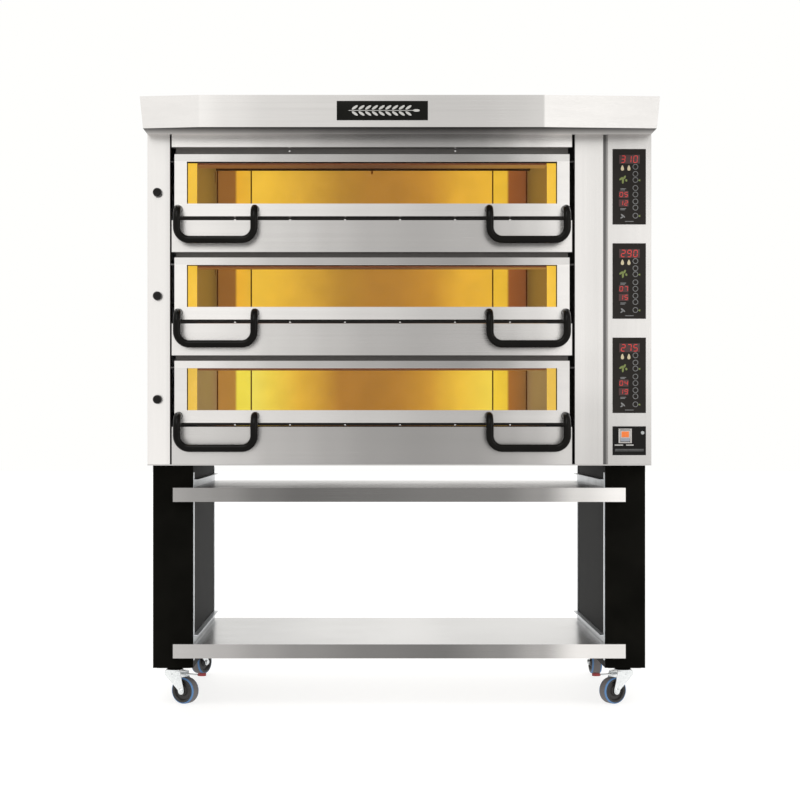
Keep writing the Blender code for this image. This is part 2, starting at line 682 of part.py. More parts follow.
def build_controls():
    y = (FRONT - GAP - CONTROL_THICKNESS, FRONT - GAP)
    x = (CONTROL_CENTRE - CONTROL_WIDTH / 2, CONTROL_CENTRE + CONTROL_WIDTH / 2)
    for index, name in enumerate(DECK_NAMES):
        top = CONTROL_TOP_Z - index * CONTROL_PITCH
        panel = part(f"{name}_control_panel", box_mesh(x, y, (top - CONTROL_HEIGHT, top)), "display")
        soften(panel, 0.0006)
    centre_x, centre_z = ROCKER_CENTRE
    half = (ROCKER_SIZE[0] / 2 + 0.004, ROCKER_SIZE[1] / 2 + 0.004)
    bezel = box_mesh(
        (centre_x - half[0], centre_x + half[0]),
        (FRONT - BEZEL_REACH, FRONT - GAP),
        (centre_z - half[1], centre_z + half[1]),
    )
    cap_front = (RESET_CAP[0], FRONT - BEZEL_REACH, RESET_CAP[1])
    cap = round_mesh(cap_front, (RESET_CAP[0], FRONT - 0.001, RESET_CAP[1]), RESET_CAP_RADIUS)
    clearance = 0.0014
    hole = box_mesh(
        (centre_x - ROCKER_SIZE[0] / 2 - 0.0005, centre_x + ROCKER_SIZE[0] / 2 + 0.0005),
        (FRONT - 0.02, FRONT + 0.01),
        (centre_z - ROCKER_SIZE[1] / 2 - clearance, centre_z + ROCKER_SIZE[1] / 2 + clearance),
    )
    plate = carved(box_mesh(x, y, SWITCH_Z), joins=[bezel, cap], cuts=[hole])
    part("switch_plate", plate, "display")
    pivot = (centre_x, FRONT - 0.001, centre_z)
    rocker = box_mesh(
        (-ROCKER_SIZE[0] / 2, ROCKER_SIZE[0] / 2),
        (-ROCKER_HALF_DEPTH, ROCKER_HALF_DEPTH),
        (-ROCKER_SIZE[1] / 2, ROCKER_SIZE[1] / 2),
    )
    rocker.transform(Matrix.Rotation(ROCKER_TILT, 4, "X"))
    attach("main_switch_rocker", rocker, "orange_plastic", pivot)


def build_electronics():
    """Contactors, a terminal row and a transformer on one mounting plate beside the right side panel."""
    outer = HALF_WIDTH - SHEET - 0.004
    seat = outer - 0.002
    plate = box_mesh((outer - 0.003, outer), (FRONT + 0.30, FRONT + 0.66), (0.86, 1.58))
    transformer = box_mesh((outer - 0.088, seat), (FRONT + 0.35, FRONT + 0.45), (0.90, 1.00))
    terminals = box_mesh((outer - 0.048, seat), (FRONT + 0.56, FRONT + 0.61), (CONTACTOR_Z, 1.52))
    blocks = [transformer, terminals]
    for index in range(len(DECK_NAMES)):
        z = CONTACTOR_Z + index * CONTACTOR_PITCH
        y = (FRONT + 0.40, FRONT + 0.455)
        blocks.append(box_mesh((outer - 0.078, seat), y, (z, z + CONTACTOR_HEIGHT)))
    part("power_electronics", carved(plate, joins=blocks), "black_plastic")


def build_gland():
    """The supply cable's inlet on the back: a nut and a domed cap with a through bore."""
    x, z = GLAND
    nut = round_mesh((x, REAR + GAP, z), (x, REAR + 0.012, z), GLAND_NUT_RADIUS, 6)
    cap = round_mesh((x, REAR + 0.010, z), (x, REAR + GLAND_REACH, z), GLAND_CAP_RADIUS, 20)
    stem = round_mesh((x, REAR - 0.012, z), (x, REAR + 0.002, z), GLAND_BORE + GLAND_STEM_WALL, 16)
    bore = round_mesh((x, REAR - 0.03, z), (x, REAR + 0.05, z), GLAND_BORE, 16)
    part("cable_gland", carved(nut, joins=[cap, stem], cuts=[bore]), "grey_plastic")


# ---- Stand --------------------------------------------------------------------------------------


def castor_centre(side, end):
    depth = STAND_DEPTH - 2 * CASTOR_INSET
    return (side * CASTOR_X, STAND_FRONT + CASTOR_INSET + end * depth)


def build_gables():
    for name, side in (("left", -1), ("right", 1)):
        x = sorted((side * LEG_OUTER, side * LEG_INNER))
        y = (STAND_FRONT, STAND_FRONT + STAND_DEPTH)
        top = BODY_BOTTOM - GAP
        hollow = box_mesh(
            (x[0] + LEG_WALL, x[1] - LEG_WALL),
            (y[0] + LEG_WALL, y[1] - LEG_WALL),
            (LEG_BOTTOM + 0.004, top + 0.01),
        )
        mounts = []
        for end in (0, 1):
            x_castor, y_castor = castor_centre(side, end)
            plate_x = (x_castor - CASTOR_PLATE[0] / 2, x_castor + CASTOR_PLATE[0] / 2)
            plate_y = (y_castor - CASTOR_PLATE[1] / 2, y_castor + CASTOR_PLATE[1] / 2)
            mounts.append(box_mesh(plate_x, plate_y, (LEG_BOTTOM - 0.003, LEG_BOTTOM + 0.001)))
            spot = (x_castor, y_castor)
            mounts.append(round_mesh((*spot, FORK_TOP + GAP), (*spot, LEG_BOTTOM - 0.002), RACE_RADIUS, 20))
        gable = carved(box_mesh(x, y, (LEG_BOTTOM, top)), joins=mounts, cuts=[hollow])
        part(f"{name}_stand_gable", gable, "black_steel")


def build_runners():
    """On each side, two open channels that guide the shelves' edges, joined by two uprights."""
    y = (STAND_FRONT + 0.004, STAND_FRONT + STAND_DEPTH - 0.004)
    for name, side in (("left", -1), ("right", 1)):
        outer = side * (LEG_INNER - GAP)
        inner = outer - side * RUNNER_FLANGE
        channels = []
        hollows = []
        for shelf_top in (UPPER_SHELF_Z, LOWER_SHELF_Z):
            z = (shelf_top - SHELF_EDGE - SHELF_TRAVEL_CLEARANCE - SHEET, shelf_top + RUNNER_RISE)
            channels.append(box_mesh(sorted((outer, inner)), y, z))
            hollow_x = sorted((outer - side * RUNNER_WEB, inner - side * 0.01))
            hollows.append(box_mesh(hollow_x, (y[0] - 0.01, y[1] + 0.01), (z[0] + SHEET, z[1] - SHEET)))
        uprights = [
            box_mesh(sorted((outer, outer - side * RUNNER_WEB)), (near, near + UPRIGHT_WIDTH), UPRIGHT_Z)
            for near in (y[0], y[1] - UPRIGHT_WIDTH)
        ]
        frame = carved(channels[0], joins=[*uprights, channels[1]], cuts=hollows)
        part(f"{name}_shelf_runners", frame, "galvanised_steel")


def build_shelf(name, top):
    """A sheet shelf with its edges folded down and a wider front that laps over the legs."""
    nose_y = (STAND_FRONT - GAP - SHELF_NOSE_DEPTH, STAND_FRONT - GAP)
    body_y = (nose_y[1] - 0.004, nose_y[1] + SHELF_DEPTH)
    tray = box_mesh((-SHELF_HALF_WIDTH, SHELF_HALF_WIDTH), body_y, (top - SHELF_EDGE, top))
    nose = box_mesh((-SHELF_HALF_FASCIA, SHELF_HALF_FASCIA), nose_y, (top - SHELF_FASCIA, top))
    under = (top - 0.1, top - SHEET)
    tray_x = (-SHELF_HALF_WIDTH + SHEET, SHELF_HALF_WIDTH - SHEET)
    under_tray = box_mesh(tray_x, (nose_y[0] + 0.01, body_y[1] - SHEET), under)
    nose_x = (-SHELF_HALF_FASCIA + SHEET, SHELF_HALF_FASCIA - SHEET)
    under_nose = box_mesh(nose_x, (nose_y[0] + SHEET, nose_y[1] - SHEET), under)
    shelf = carved(tray, joins=[nose], cuts=[under_tray, under_nose])
    part(name, shelf, "brushed_steel")


# ---- Castors ------------------------------------------------------------------------------------


def across_mesh(points, y):
    """A plate cut to an outline of (x, z) that fills a range of Y."""
    turn = Matrix(((1, 0, 0, 0), (0, 0, -1, (y[0] + y[1]) / 2), (0, 1, 0, 0), (0, 0, 0, 1)))
    return outline_mesh(points, y[1] - y[0], turn)


def fork_mesh():
    """Trail along +X, axle along Y, swivel axis at the origin."""
    bridge_top = FORK_TOP - 0.003
    cheek = [(-0.022, bridge_top - 0.012), (-0.022, bridge_top), (0.034, bridge_top)]
    cheek += arc((TRAIL, WHEEL_RADIUS), 0.011, 10, -190, 8)
    outer = FORK_INNER + FORK_PLATE
    bridge = box_mesh((-0.022, 0.034), (-outer, outer), (bridge_top - 0.003, bridge_top))
    cheeks = [across_mesh(cheek, (FORK_INNER, outer)), across_mesh(cheek, (-outer, -FORK_INNER))]
    race = round_mesh((0, 0, bridge_top - 0.001), (0, 0, FORK_TOP), 0.027, 20)
    axle_reach = outer + 0.005
    axle_ends = ((TRAIL, -axle_reach, WHEEL_RADIUS), (TRAIL, axle_reach, WHEEL_RADIUS))
    axle = round_mesh(*axle_ends, AXLE_RADIUS, 12)
    pin_hole = round_mesh(
        (PEDAL_HINGE_TRAIL, -0.05, PEDAL_HINGE_Z), (PEDAL_HINGE_TRAIL, 0.05, PEDAL_HINGE_Z), 0.0029, 10
    )
    return carved(bridge, joins=[*cheeks, race, axle], cuts=[pin_hole])


def wheel_profile():
    """(radius, height) of the wheel, down the tread and back up the bore."""
    half = WHEEL_WIDTH / 2
    tread = WHEEL_RADIUS
    upper = [(0.015, half), (0.017, half - 0.007), (tread - 0.0125, half - 0.007)]
    upper += [(tread - 0.010, half - 0.001), (tread - 0.004, half), (tread, half - 0.006)]
    lower = [(radius, -height) for radius, height in reversed(upper)]
    bore = AXLE_RADIUS + AXLE_CLEARANCE
    return [(bore, half), *upper, *lower, (bore, -half)]


def add_wheel(name, parent):
    points = wheel_profile()
    mesh = bpy.data.meshes.new(name)
    loop = [(index, (index + 1) % len(points)) for index in range(len(points))]
    mesh.from_pydata([(radius, 0, height) for radius, height in points], loop, [])
    wheel = bpy.data.objects.new(name, mesh)
    PARTS.objects.link(wheel)
    mesh.materials.append(finish("blue_rubber"))
    wheel.parent = parent
    wheel.location = (TRAIL, 0, WHEEL_RADIUS)
    wheel.rotation_euler.x = math.radians(90)
    screw = wheel.modifiers.new("turned", "SCREW")
    screw.steps = 24
    screw.render_steps = 24
    screw.use_merge_vertices = True
    screw.merge_threshold = 0.0001
    screw.use_smooth_shade = False


def pedal_mesh():
    """Counted from the pedal's own hinge pin."""
    half = PEDAL_WIDTH / 2
    arm_z = (-PEDAL_THICKNESS / 2, PEDAL_THICKNESS / 2)
    arm = box_mesh((-0.004, PEDAL_LENGTH), (-half + 0.003, half - 0.003), arm_z)
    pin = round_mesh((0, -FORK_INNER - 0.002, 0), (0, FORK_INNER + 0.002, 0), 0.0024, 10)
    pad = outline_mesh(
        arc((PEDAL_LENGTH - 0.010, 0), 0.0125, 0, 337.5, 15), 0.008, Matrix.Translation((0, 0, 0.002))
    )
    return carved(arm, joins=[pin, pad])


def build_castors():
    for name, side, end, trail, braked in CASTORS:
        swivel = empty_at(f"{name}_castor_swivel", (*castor_centre(side, end), 0), math.radians(trail))
        attach(f"{name}_castor_fork", fork_mesh(), "zinc_plate", (0, 0, 0), swivel)
        add_wheel(f"{name}_castor_wheel", swivel)
        if braked:
            hinge = (PEDAL_HINGE_TRAIL, 0, PEDAL_HINGE_Z)
            attach(f"{name}_brake_pedal", pedal_mesh(), "red_plastic", hinge, swivel)


def build_oven():
    build_sheets()
    build_hood()
    build_posts()
    build_control_column()
    build_fascia()
    for name, top in zip(DECK_NAMES, DOOR_TOPS):
        build_chamber(name, top)
        build_hearth(name, top)
        build_damper(name, top)
        build_door(name, top)
    build_elements()
    build_insulation()
    build_flue()
    build_controls()
    build_electronics()
    build_gland()


def build_stand():
    build_gables()
    build_runners()
    build_shelf("upper_shelf", UPPER_SHELF_Z)
    build_shelf("lower_shelf", LOWER_SHELF_Z)
    build_castors()


build_oven()
build_stand()
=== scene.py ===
# %% [markdown]
# # A three-deck oven on a wheeled stand
# The shapes, sizes and joints of the oven come ready made as a frame of solids. This lesson dresses them: it gives
# every sheet its brushed grain, lights the baking chambers, and makes the small things that a bench of solids
# leaves out, such as the marks on the panels, the screws and the moulded wheels.
# The first cell loads the frame and reads the boxes of its parts.

# %% Load the frame
import math

import bmesh
import bpy
from mathutils import Matrix, Vector


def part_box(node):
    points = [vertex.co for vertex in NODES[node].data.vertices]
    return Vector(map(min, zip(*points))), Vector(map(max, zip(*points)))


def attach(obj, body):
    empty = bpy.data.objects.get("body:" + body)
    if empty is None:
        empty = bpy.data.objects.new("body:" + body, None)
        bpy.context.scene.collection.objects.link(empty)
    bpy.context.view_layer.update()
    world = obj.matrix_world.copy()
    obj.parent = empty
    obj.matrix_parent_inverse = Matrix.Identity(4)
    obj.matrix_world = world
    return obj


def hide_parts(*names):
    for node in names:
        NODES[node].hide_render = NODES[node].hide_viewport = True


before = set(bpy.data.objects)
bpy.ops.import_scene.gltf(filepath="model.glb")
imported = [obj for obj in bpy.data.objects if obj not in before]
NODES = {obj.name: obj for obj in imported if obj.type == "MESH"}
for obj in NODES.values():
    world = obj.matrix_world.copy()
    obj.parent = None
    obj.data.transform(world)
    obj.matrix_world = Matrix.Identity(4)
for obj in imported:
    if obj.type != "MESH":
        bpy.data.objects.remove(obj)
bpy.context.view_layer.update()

ROOT = "oven_and_stand"
DECKS = ("top_deck", "middle_deck", "bottom_deck")
HAIR = 0.0003


# %% [markdown]
# Everything is placed from the frame, so two short helpers read it: one gives a node's corners as vectors, the
# other its middle. The oven's front is the plane of its left post. The doors' middle is not the body's middle,
# because the control column stands on the right.

# %% Read places from the frame
def corners(node):
    low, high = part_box(node)
    return Vector(low), Vector(high)


def middle(node):
    low, high = corners(node)
    return (low + high) / 2


FRONT = corners("left_front_post")[0].y
REAR = corners("rear_panel")[1].y
BAY_X = middle("top_deck_hearth").x
print("front plane", round(FRONT, 4), "door middle", round(BAY_X, 4))

# %% [markdown]
# The oven is seen straight on from about chest height, with a long lens from almost six metres away, so its lines
# stay parallel. A small shift of the lens frames it without tilting the camera, as a view camera does.

# %% Camera
EYE_HEIGHT = 0.84
EYE_DISTANCE = 5.9
camera_data = bpy.data.cameras.new("camera")
camera_data.lens = 89.2
camera_data.sensor_width = 36
camera_data.shift_x = 0.035
camera_data.shift_y = 0.0325
camera = bpy.data.objects.new("camera", camera_data)
camera.location = (BAY_X, FRONT - EYE_DISTANCE, EYE_HEIGHT)
camera.rotation_euler = (math.radians(90), 0, 0)
bpy.context.scene.collection.objects.link(camera)
bpy.context.scene.camera = camera
print("camera at", [round(value, 3) for value in camera.location])

# %% [markdown]
# A white studio: an even pale world lights the steel from all round, a large soft lamp from the upper left gives
# the shadows a direction, a weaker one fills from the right, and the floor glows a little, so that only faint
# shadows are left on it.

# %% Studio
WORLD_WHITE = (1.0, 1.0, 0.985, 1)
FLOOR_TONE = (0.20, 0.198, 0.195, 1)
FLOOR_GLOW = (1, 0.995, 0.985, 1)
bpy.context.scene.view_settings.view_transform = "Standard"
world = bpy.data.worlds.new("studio")
bpy.context.scene.world = world
world.use_nodes = True
world.node_tree.nodes["Background"].inputs["Color"].default_value = WORLD_WHITE
world.node_tree.nodes["Background"].inputs["Strength"].default_value = 1.0


def soft_lamp(name, place, target, size, watts):
    data = bpy.data.lights.new(name, "AREA")
    data.shape = "RECTANGLE"
    data.size, data.size_y = size
    data.energy = watts
    lamp = bpy.data.objects.new(name, data)
    lamp.location = place
    lamp.rotation_euler = (Vector(target) - Vector(place)).to_track_quat("-Z", "Y").to_euler()
    bpy.context.scene.collection.objects.link(lamp)


def floor_sheet(half_width):
    mesh = bpy.data.meshes.new("floor")
    shape = bmesh.new()
    bmesh.ops.create_grid(shape, x_segments=2, y_segments=2, size=half_width)
    shape.to_mesh(mesh)
    shape.free()
    sheet = bpy.data.objects.new("floor", mesh)
    bpy.context.scene.collection.objects.link(sheet)
    return sheet


soft_lamp("key_lamp", (-1.2, FRONT - 2.6, 4.4), (0, 0, 1.0), (2.4, 2.4), 70)
soft_lamp("fill_lamp", (3.0, FRONT - 2.6, 2.2), (0, 0, 0.9), (2.0, 2.6), 30)
floor = floor_sheet(30)
floor_paint = bpy.data.materials.new("studio_floor")
floor_paint.use_nodes = True
floor_shader = floor_paint.node_tree.nodes["Principled BSDF"]
floor_shader.inputs["Base Color"].default_value = FLOOR_TONE
floor_shader.inputs["Roughness"].default_value = 0.6
floor_shader.inputs["Emission Color"].default_value = FLOOR_GLOW
floor_shader.inputs["Emission Strength"].default_value = 0.80
floor.data.materials.append(floor_paint)
print("lamps", len(bpy.data.lights))


# %% [markdown]
# ## How a finish is built
# Each finish is a small tree of nodes. A tiny helper keeps the trees short to read: `Finish` makes a material with
# its Principled shader, `add` puts in a node and sets its inputs, and a socket can be given wherever a number can.
# All patterns read Object coordinates, which here are the room's own metres, so a scale of 900 makes a grain of
# about a millimetre, and a scale of 1.5 stretches it to a good half metre.

# %% Finish helper
class Finish:
    def __init__(self, name, metallic=0.0, roughness=0.5):
        self.material = bpy.data.materials.new(name)
        self.material.use_nodes = True
        self.tree = self.material.node_tree
        self.shader = self.tree.nodes["Principled BSDF"]
        self.set(Metallic=metallic, Roughness=roughness)
        self.place = self.add("ShaderNodeTexCoord").outputs["Object"]

    def add(self, kind, settings=None, **values):
        node = self.tree.nodes.new(kind)
        for key, value in (settings or {}).items():
            setattr(node, key, value)
        for key, value in values.items():
            self.put(node.inputs[key.replace("_", " ")], value)
        return node

    def put(self, socket, value):
        if isinstance(value, bpy.types.NodeSocket):
            self.tree.links.new(value, socket)
        else:
            socket.default_value = value

    def set(self, **values):
        for key, value in values.items():
            self.put(self.shader.inputs[key.replace("_", " ")], value)
        return self

    def base(self):
        """What feeds the base colour now, so that another layer can be mixed over it."""
        return self.shader.inputs["Base Color"].links[0].from_socket

    def math(self, operation, first, second=0.0):
        node = self.add("ShaderNodeMath", {"operation": operation})
        self.put(node.inputs[0], first)
        self.put(node.inputs[1], second)
        return node.outputs[0]

    def around(self, value, centre, gain, level):
        """A noise value turned into a factor that swings about a level."""
        return self.math("ADD", self.math("MULTIPLY", self.math("SUBTRACT", value, centre), gain), level)

    def noise(self, scale, detail=3.0, roughness=0.55):
        """Noise between about 0.3 and 0.7; one scale for all axes or one for each."""
        scales = scale if isinstance(scale, tuple) else (scale, scale, scale)
        mapped = self.add("ShaderNodeMapping", Vector=self.place, Scale=scales)
        node = self.add("ShaderNodeTexNoise", Vector=mapped.outputs[0], Scale=1.0, Detail=detail, Roughness=roughness)
        return node.outputs["Fac"]

    def along(self, axis):
        return self.add("ShaderNodeSeparateXYZ", Vector=self.place).outputs["XYZ".index(axis)]

    def facing(self, axis):
        """How far a face points along an axis, from -1 to 1."""
        normal = self.add("ShaderNodeNewGeometry").outputs["Normal"]
        return self.add("ShaderNodeSeparateXYZ", Vector=normal).outputs["XYZ".index(axis)]

    def ramp(self, value, stops, smooth="EASE", past=0.0):
        """A colour that changes with a value; stops are (value, colour), and past widens the last one."""
        low, high = stops[0][0], stops[-1][0] + past
        mapped = self.add("ShaderNodeMapRange", Value=value, From_Min=low, From_Max=high)
        node = self.add("ShaderNodeValToRGB", Fac=mapped.outputs[0])
        bands = node.color_ramp
        bands.interpolation = smooth
        while len(bands.elements) < len(stops):
            bands.elements.new(0.5)
        for element, (at, colour) in zip(bands.elements, stops):
            element.position = (at - low) / (high - low)
            element.color = (*colour, 1)
        return node.outputs["Color"]

    def mix(self, factor, first, second, blend="MIX"):
        node = self.add("ShaderNodeMix", {"data_type": "RGBA", "blend_type": blend})
        for index, value in ((0, factor), (6, first), (7, second)):
            self.put(node.inputs[index], (*value, 1) if isinstance(value, tuple) else value)
        return node.outputs[2]

    def tinted(self, colour, factor):
        """A colour multiplied by a plain number."""
        shade = self.add("ShaderNodeCombineColor", Red=factor, Green=factor, Blue=factor)
        return self.mix(1.0, colour, shade.outputs[0], "MULTIPLY")

    def bump(self, height, strength, distance=0.0005):
        node = self.add("ShaderNodeBump", Strength=strength, Distance=distance, Height=height)
        return self.set(Normal=node.outputs[0])


def grey(value):
    """A slightly warm grey, the tone of stainless steel under a white sky."""
    return (value, value * 0.972, value * 0.95)


def tones(zones, level=1.0):
    """Turns (place, tone) pairs into the stops of a ramp."""
    return [(place, grey(tone * level)) for place, tone in zones]


def parts(zones):
    return [(place, (part, part, part)) for place, part in zones]


def dress(finish, *names):
    """Puts a finish on solids of the frame."""
    for name in names:
        NODES[name].data.materials.clear()
        NODES[name].data.materials.append(finish.material)


print("helpers ready")

# %% [markdown]
# ## Brushed stainless steel
# Sheet steel is brushed in one direction, which leaves fine parallel lines. Three noises make it: long thin streaks
# for the grain, broader soft bands where the belt pressed harder, and faint smudges from hands and cloths. They
# vary the tone a little and the roughness more, because brushing is first of all a matter of gloss. The slow bright
# and dark zones that wide sheets show from end to end are reflections of the room; they are painted into the colour
# as a ramp along the sheet, and where given a second ramp along Z paints shade by height.

# %% Brushed steel
EDGE_TINT = (*grey(0.5), 1)


def brushed_steel(name, zones, axis="X", roughness=0.24, rise=(), run="X", level=1.0):
    """zones are (metres along the run, painted reflection tone), and rise is (Z in metres, how much of that tone is
    left after painted shade).
    """
    steel = Finish(name, metallic=1.0)
    lines = {"X": (1.5, 900.0, 900.0), "Y": (900.0, 1.5, 900.0), "Z": (900.0, 900.0, 1.5)}[axis]
    bands = {"X": (0.6, 60.0, 60.0), "Y": (60.0, 0.6, 60.0), "Z": (60.0, 60.0, 0.6)}[axis]
    grain = steel.noise(lines, detail=4.0, roughness=0.7)
    belt = steel.noise(bands, detail=2.0)
    smudge = steel.noise(3.0, detail=4.0, roughness=0.6)
    tone = steel.ramp(steel.along(run), tones(zones, level), past=0.001)
    shade = steel.math("MULTIPLY", steel.around(grain, 0.5, 0.14, 1.0), steel.around(belt, 0.5, 0.084, 1.0))
    if rise:
        left = steel.ramp(steel.along("Z"), parts(rise))
        shade = steel.math("MULTIPLY", shade, steel.add("ShaderNodeRGBToBW", Color=left).outputs[0])
    steel.brushing = shade
    steel.set(Base_Color=steel.tinted(tone, shade))
    gloss = steel.math("ADD", steel.math("MULTIPLY", grain, 0.16), roughness - 0.08)
    steel.set(Roughness=steel.math("ADD", gloss, steel.around(smudge, 0.5, 0.12, 0.0)))
    return steel.bump(grain, 0.12, 0.0003)


print("brushing ready")

# %% [markdown]
# The doors, panels and posts stand in one plane, but each mirrors its own piece of the room, and these reflections
# are painted into each sheet's colour as zones: the left ends painted bright, the middle darkest, and the lowest
# sheets painted darker for the floor's shade. Posts and column are also painted darker low down and under the hood.

# %% Front sheets
FASCIA_ZONES = [
    (-0.68, 0.95), (-0.58, 0.93), (-0.47, 0.84), (-0.385, 0.72), (-0.30, 0.65), (-0.20, 0.52), (-0.08, 0.43),
    (0.03, 0.39), (0.14, 0.38), (0.24, 0.42), (0.30, 0.52), (0.39, 0.74), (0.48, 0.95),
]
RAIL_ZONES = [
    (-0.67, 0.88), (-0.53, 0.86), (-0.30, 0.74), (-0.08, 0.62), (0.12, 0.53), (0.24, 0.53), (0.39, 0.68), (0.50, 0.86),
]
TOP_RAIL_ZONES = [
    (-0.67, 0.81), (-0.59, 0.79), (-0.475, 0.65), (-0.36, 0.52), (-0.24, 0.45), (-0.08, 0.38), (0.06, 0.33),
    (0.18, 0.31), (0.30, 0.38), (0.39, 0.54), (0.48, 0.72),
]
PANEL_ZONES = [
    (-0.68, 0.80), (-0.60, 0.80), (-0.46, 0.72), (-0.38, 0.61), (-0.30, 0.57), (-0.20, 0.50), (-0.08, 0.43),
    (0.06, 0.40), (0.21, 0.43), (0.33, 0.52), (0.39, 0.60), (0.50, 0.82),
]
LEFT_POST_ZONES = [(-0.75, 0.84), (-0.70, 0.85), (-0.683, 0.76)]
RIGHT_POST_ZONES = [(0.52, 0.82), (0.60, 0.78)]
# The column's first stops paint a dark V: painted shade in the gap beside the right post.
COLUMN_ZONES = [
    (0.603, 0.50), (0.6075, 0.24), (0.6125, 0.13), (0.6165, 0.24), (0.6205, 0.60), (0.6225, 0.77), (0.75, 0.84),
]
# Rises paint shade by height: darker low down and under the hood.
POST_SHADE = [(0.72, 0.74), (0.86, 0.80), (1.0, 0.92), (1.12, 0.99), (1.64, 0.99), (1.70, 0.90)]
COLUMN_SHADE = [
    (0.72, 0.68), (0.80, 0.72), (0.86, 0.78), (1.0, 0.88), (1.12, 0.95), (1.40, 0.96), (1.60, 0.88), (1.70, 0.80),
]
SIDE_ZONES = [(FRONT, 0.70), (FRONT + 0.22, 0.56), (FRONT + 0.50, 0.47), (FRONT + 0.74, 0.52), (REAR, 0.64)]
SIDE_SHADE = [(0.72, 0.80), (1.00, 0.94), (1.40, 1.0), (1.71, 0.92)]
DOOR_TOP = corners("top_deck_door_frame")[1].z
DOOR_PITCH = 0.3075
DOOR_HALF = 0.588
TOP_RAIL_HEIGHT = 0.022
LOW_PANEL_SHADE = 0.74


def door_steel(name, level):
    """A door's frame with painted reflection: its narrow top rail is painted darker than the rail that carries the
    handles, and its ends are painted near-black as shade for the gaps beside the door.
    """
    steel = brushed_steel(name, RAIL_ZONES, level=level)
    top = steel.ramp(steel.along("X"), tones(TOP_RAIL_ZONES))
    decks_down = steel.math("DIVIDE", steel.math("SUBTRACT", steel.along("Z"), DOOR_TOP + 0.001), DOOR_PITCH)
    on_top_rail = steel.math("GREATER_THAN", steel.math("FRACT", decks_down), 1 - TOP_RAIL_HEIGHT / DOOR_PITCH)
    face = steel.mix(on_top_rail, steel.base(), top)
    from_middle = steel.math("ABSOLUTE", steel.math("SUBTRACT", steel.along("X"), BAY_X))
    # The frame's end faces get a painted shade, near-black, for the gaps beside the door.
    gap_shade_at_end = steel.math("GREATER_THAN", from_middle, DOOR_HALF + 0.0002)
    return steel.set(Base_Color=steel.mix(gap_shade_at_end, face, grey(0.06)))


steel_doors = door_steel("steel_door_frames", 1.0)
steel_panels = brushed_steel("steel_front_panels", PANEL_ZONES)
for deck in DECKS[:2]:
    dress(steel_doors, f"{deck}_door_frame")
    dress(steel_panels, f"{deck}_front_panel")
# The bottom door frame and panel are shaded copies, painted darker for the floor's shade.
dress(door_steel("steel_shaded_low_door_frame", 0.86), "bottom_deck_door_frame")
dress(brushed_steel("steel_shaded_low_panel", PANEL_ZONES, level=LOW_PANEL_SHADE), "bottom_deck_front_panel")
dress(brushed_steel("steel_top_fascia", FASCIA_ZONES), "top_fascia")
dress(brushed_steel("steel_left_post", LEFT_POST_ZONES, "Z"), "left_front_post")
dress(brushed_steel("steel_right_post", RIGHT_POST_ZONES, "Z", rise=POST_SHADE), "right_front_post")
dress(brushed_steel("steel_control_column", COLUMN_ZONES, "Z", rise=COLUMN_SHADE), "control_column_fascia")
# Side and base sheets get painted reflection zones from front to rear and painted shade by height.
steel_casing = brushed_steel("steel_casing", SIDE_ZONES, "Y", 0.30, SIDE_SHADE, run="Y")
steel_casing.set(Specular_Tint=EDGE_TINT)
dress(steel_casing, "left_side_panel", "right_side_panel", "base_panel")
print("steel finishes", len([material for material in bpy.data.materials if material.name.startswith("steel")]))

# %% [markdown]
# ## Paint, plastic, zinc and stone
# The other finishes use the same few tricks. Powder coat has a fine orange peel, moulded plastic a soft grain, zinc
# plate a cloudy blue-white spangle, stone its pores, and mineral wool its fibres. Each of them gets its pattern at
# its own scale, so that a close look never finds a flat colour. The wool's front edge, which shows in the gaps
# beside the doors, is painted near-black as painted shade for those gaps.

# %% Plain finishes
def grainy(name, dark, light, scale, roughness, bump=0.15, metallic=0.0, detail=3.0, shine=0.5):
    """Two tones mixed by a noise of the given scale, which also drives gloss and bump."""
    made = Finish(name, metallic=metallic)
    speckle = made.noise(scale, detail=detail, roughness=0.6)
    cloud = made.noise(9.0, detail=2.0)
    blend = made.math("MULTIPLY", made.math("ADD", speckle, cloud), 0.5)
    contrast = made.add("ShaderNodeMapRange", Value=blend, From_Min=0.36, From_Max=0.64).outputs[0]
    made.set(Base_Color=made.mix(contrast, dark, light), Specular_IOR_Level=shine)
    made.set(Roughness=made.math("ADD", made.math("MULTIPLY", speckle, 0.18), roughness - 0.09))
    return made.bump(speckle, bump)


ZINC_DARK, ZINC_LIGHT = (0.66, 0.68, 0.69), (0.86, 0.88, 0.88)
powder_black = grainy("powder_black", (0.0030, 0.0029, 0.0023), (0.0060, 0.0057, 0.0046), 1400, 0.50, shine=0.01)
gloss_black = grainy("handle_black", (0.0034, 0.0031, 0.0026), (0.0064, 0.0060, 0.0052), 900, 0.26, 0.05, shine=0.07)
foil_black = grainy("foil_black", (0.0115, 0.0095, 0.0082), (0.0175, 0.0148, 0.0128), 500, 0.34, 0.03, shine=0.12)
plate_black = grainy("plate_black", (0.0040, 0.0040, 0.0034), (0.0080, 0.0080, 0.0068), 300, 0.3, 0.03, shine=0.05)
switch_black = grainy("switch_black", (0.0050, 0.0046, 0.0043), (0.0090, 0.0084, 0.0080), 400, 0.34, 0.03, shine=0.1)
knob_black = grainy("knob_black", (0.006, 0.0055, 0.005), (0.012, 0.011, 0.010), 1100, 0.3, shine=0.12)
moulding_black = grainy("moulding_black", (0.02, 0.02, 0.02), (0.04, 0.04, 0.038), 800, 0.5)
zinc = grainy("zinc_plate", ZINC_DARK, ZINC_LIGHT, 160, 0.25, 0.06, metallic=1.0)
galvanised = grainy("galvanised_sheet", (0.48, 0.50, 0.52), (0.66, 0.68, 0.70), 60, 0.36, 0.05, 1.0, detail=6.0)
bright_screw = grainy("screw_steel", (0.62, 0.61, 0.60), (0.86, 0.85, 0.84), 900, 0.24, 0.05, metallic=1.0)
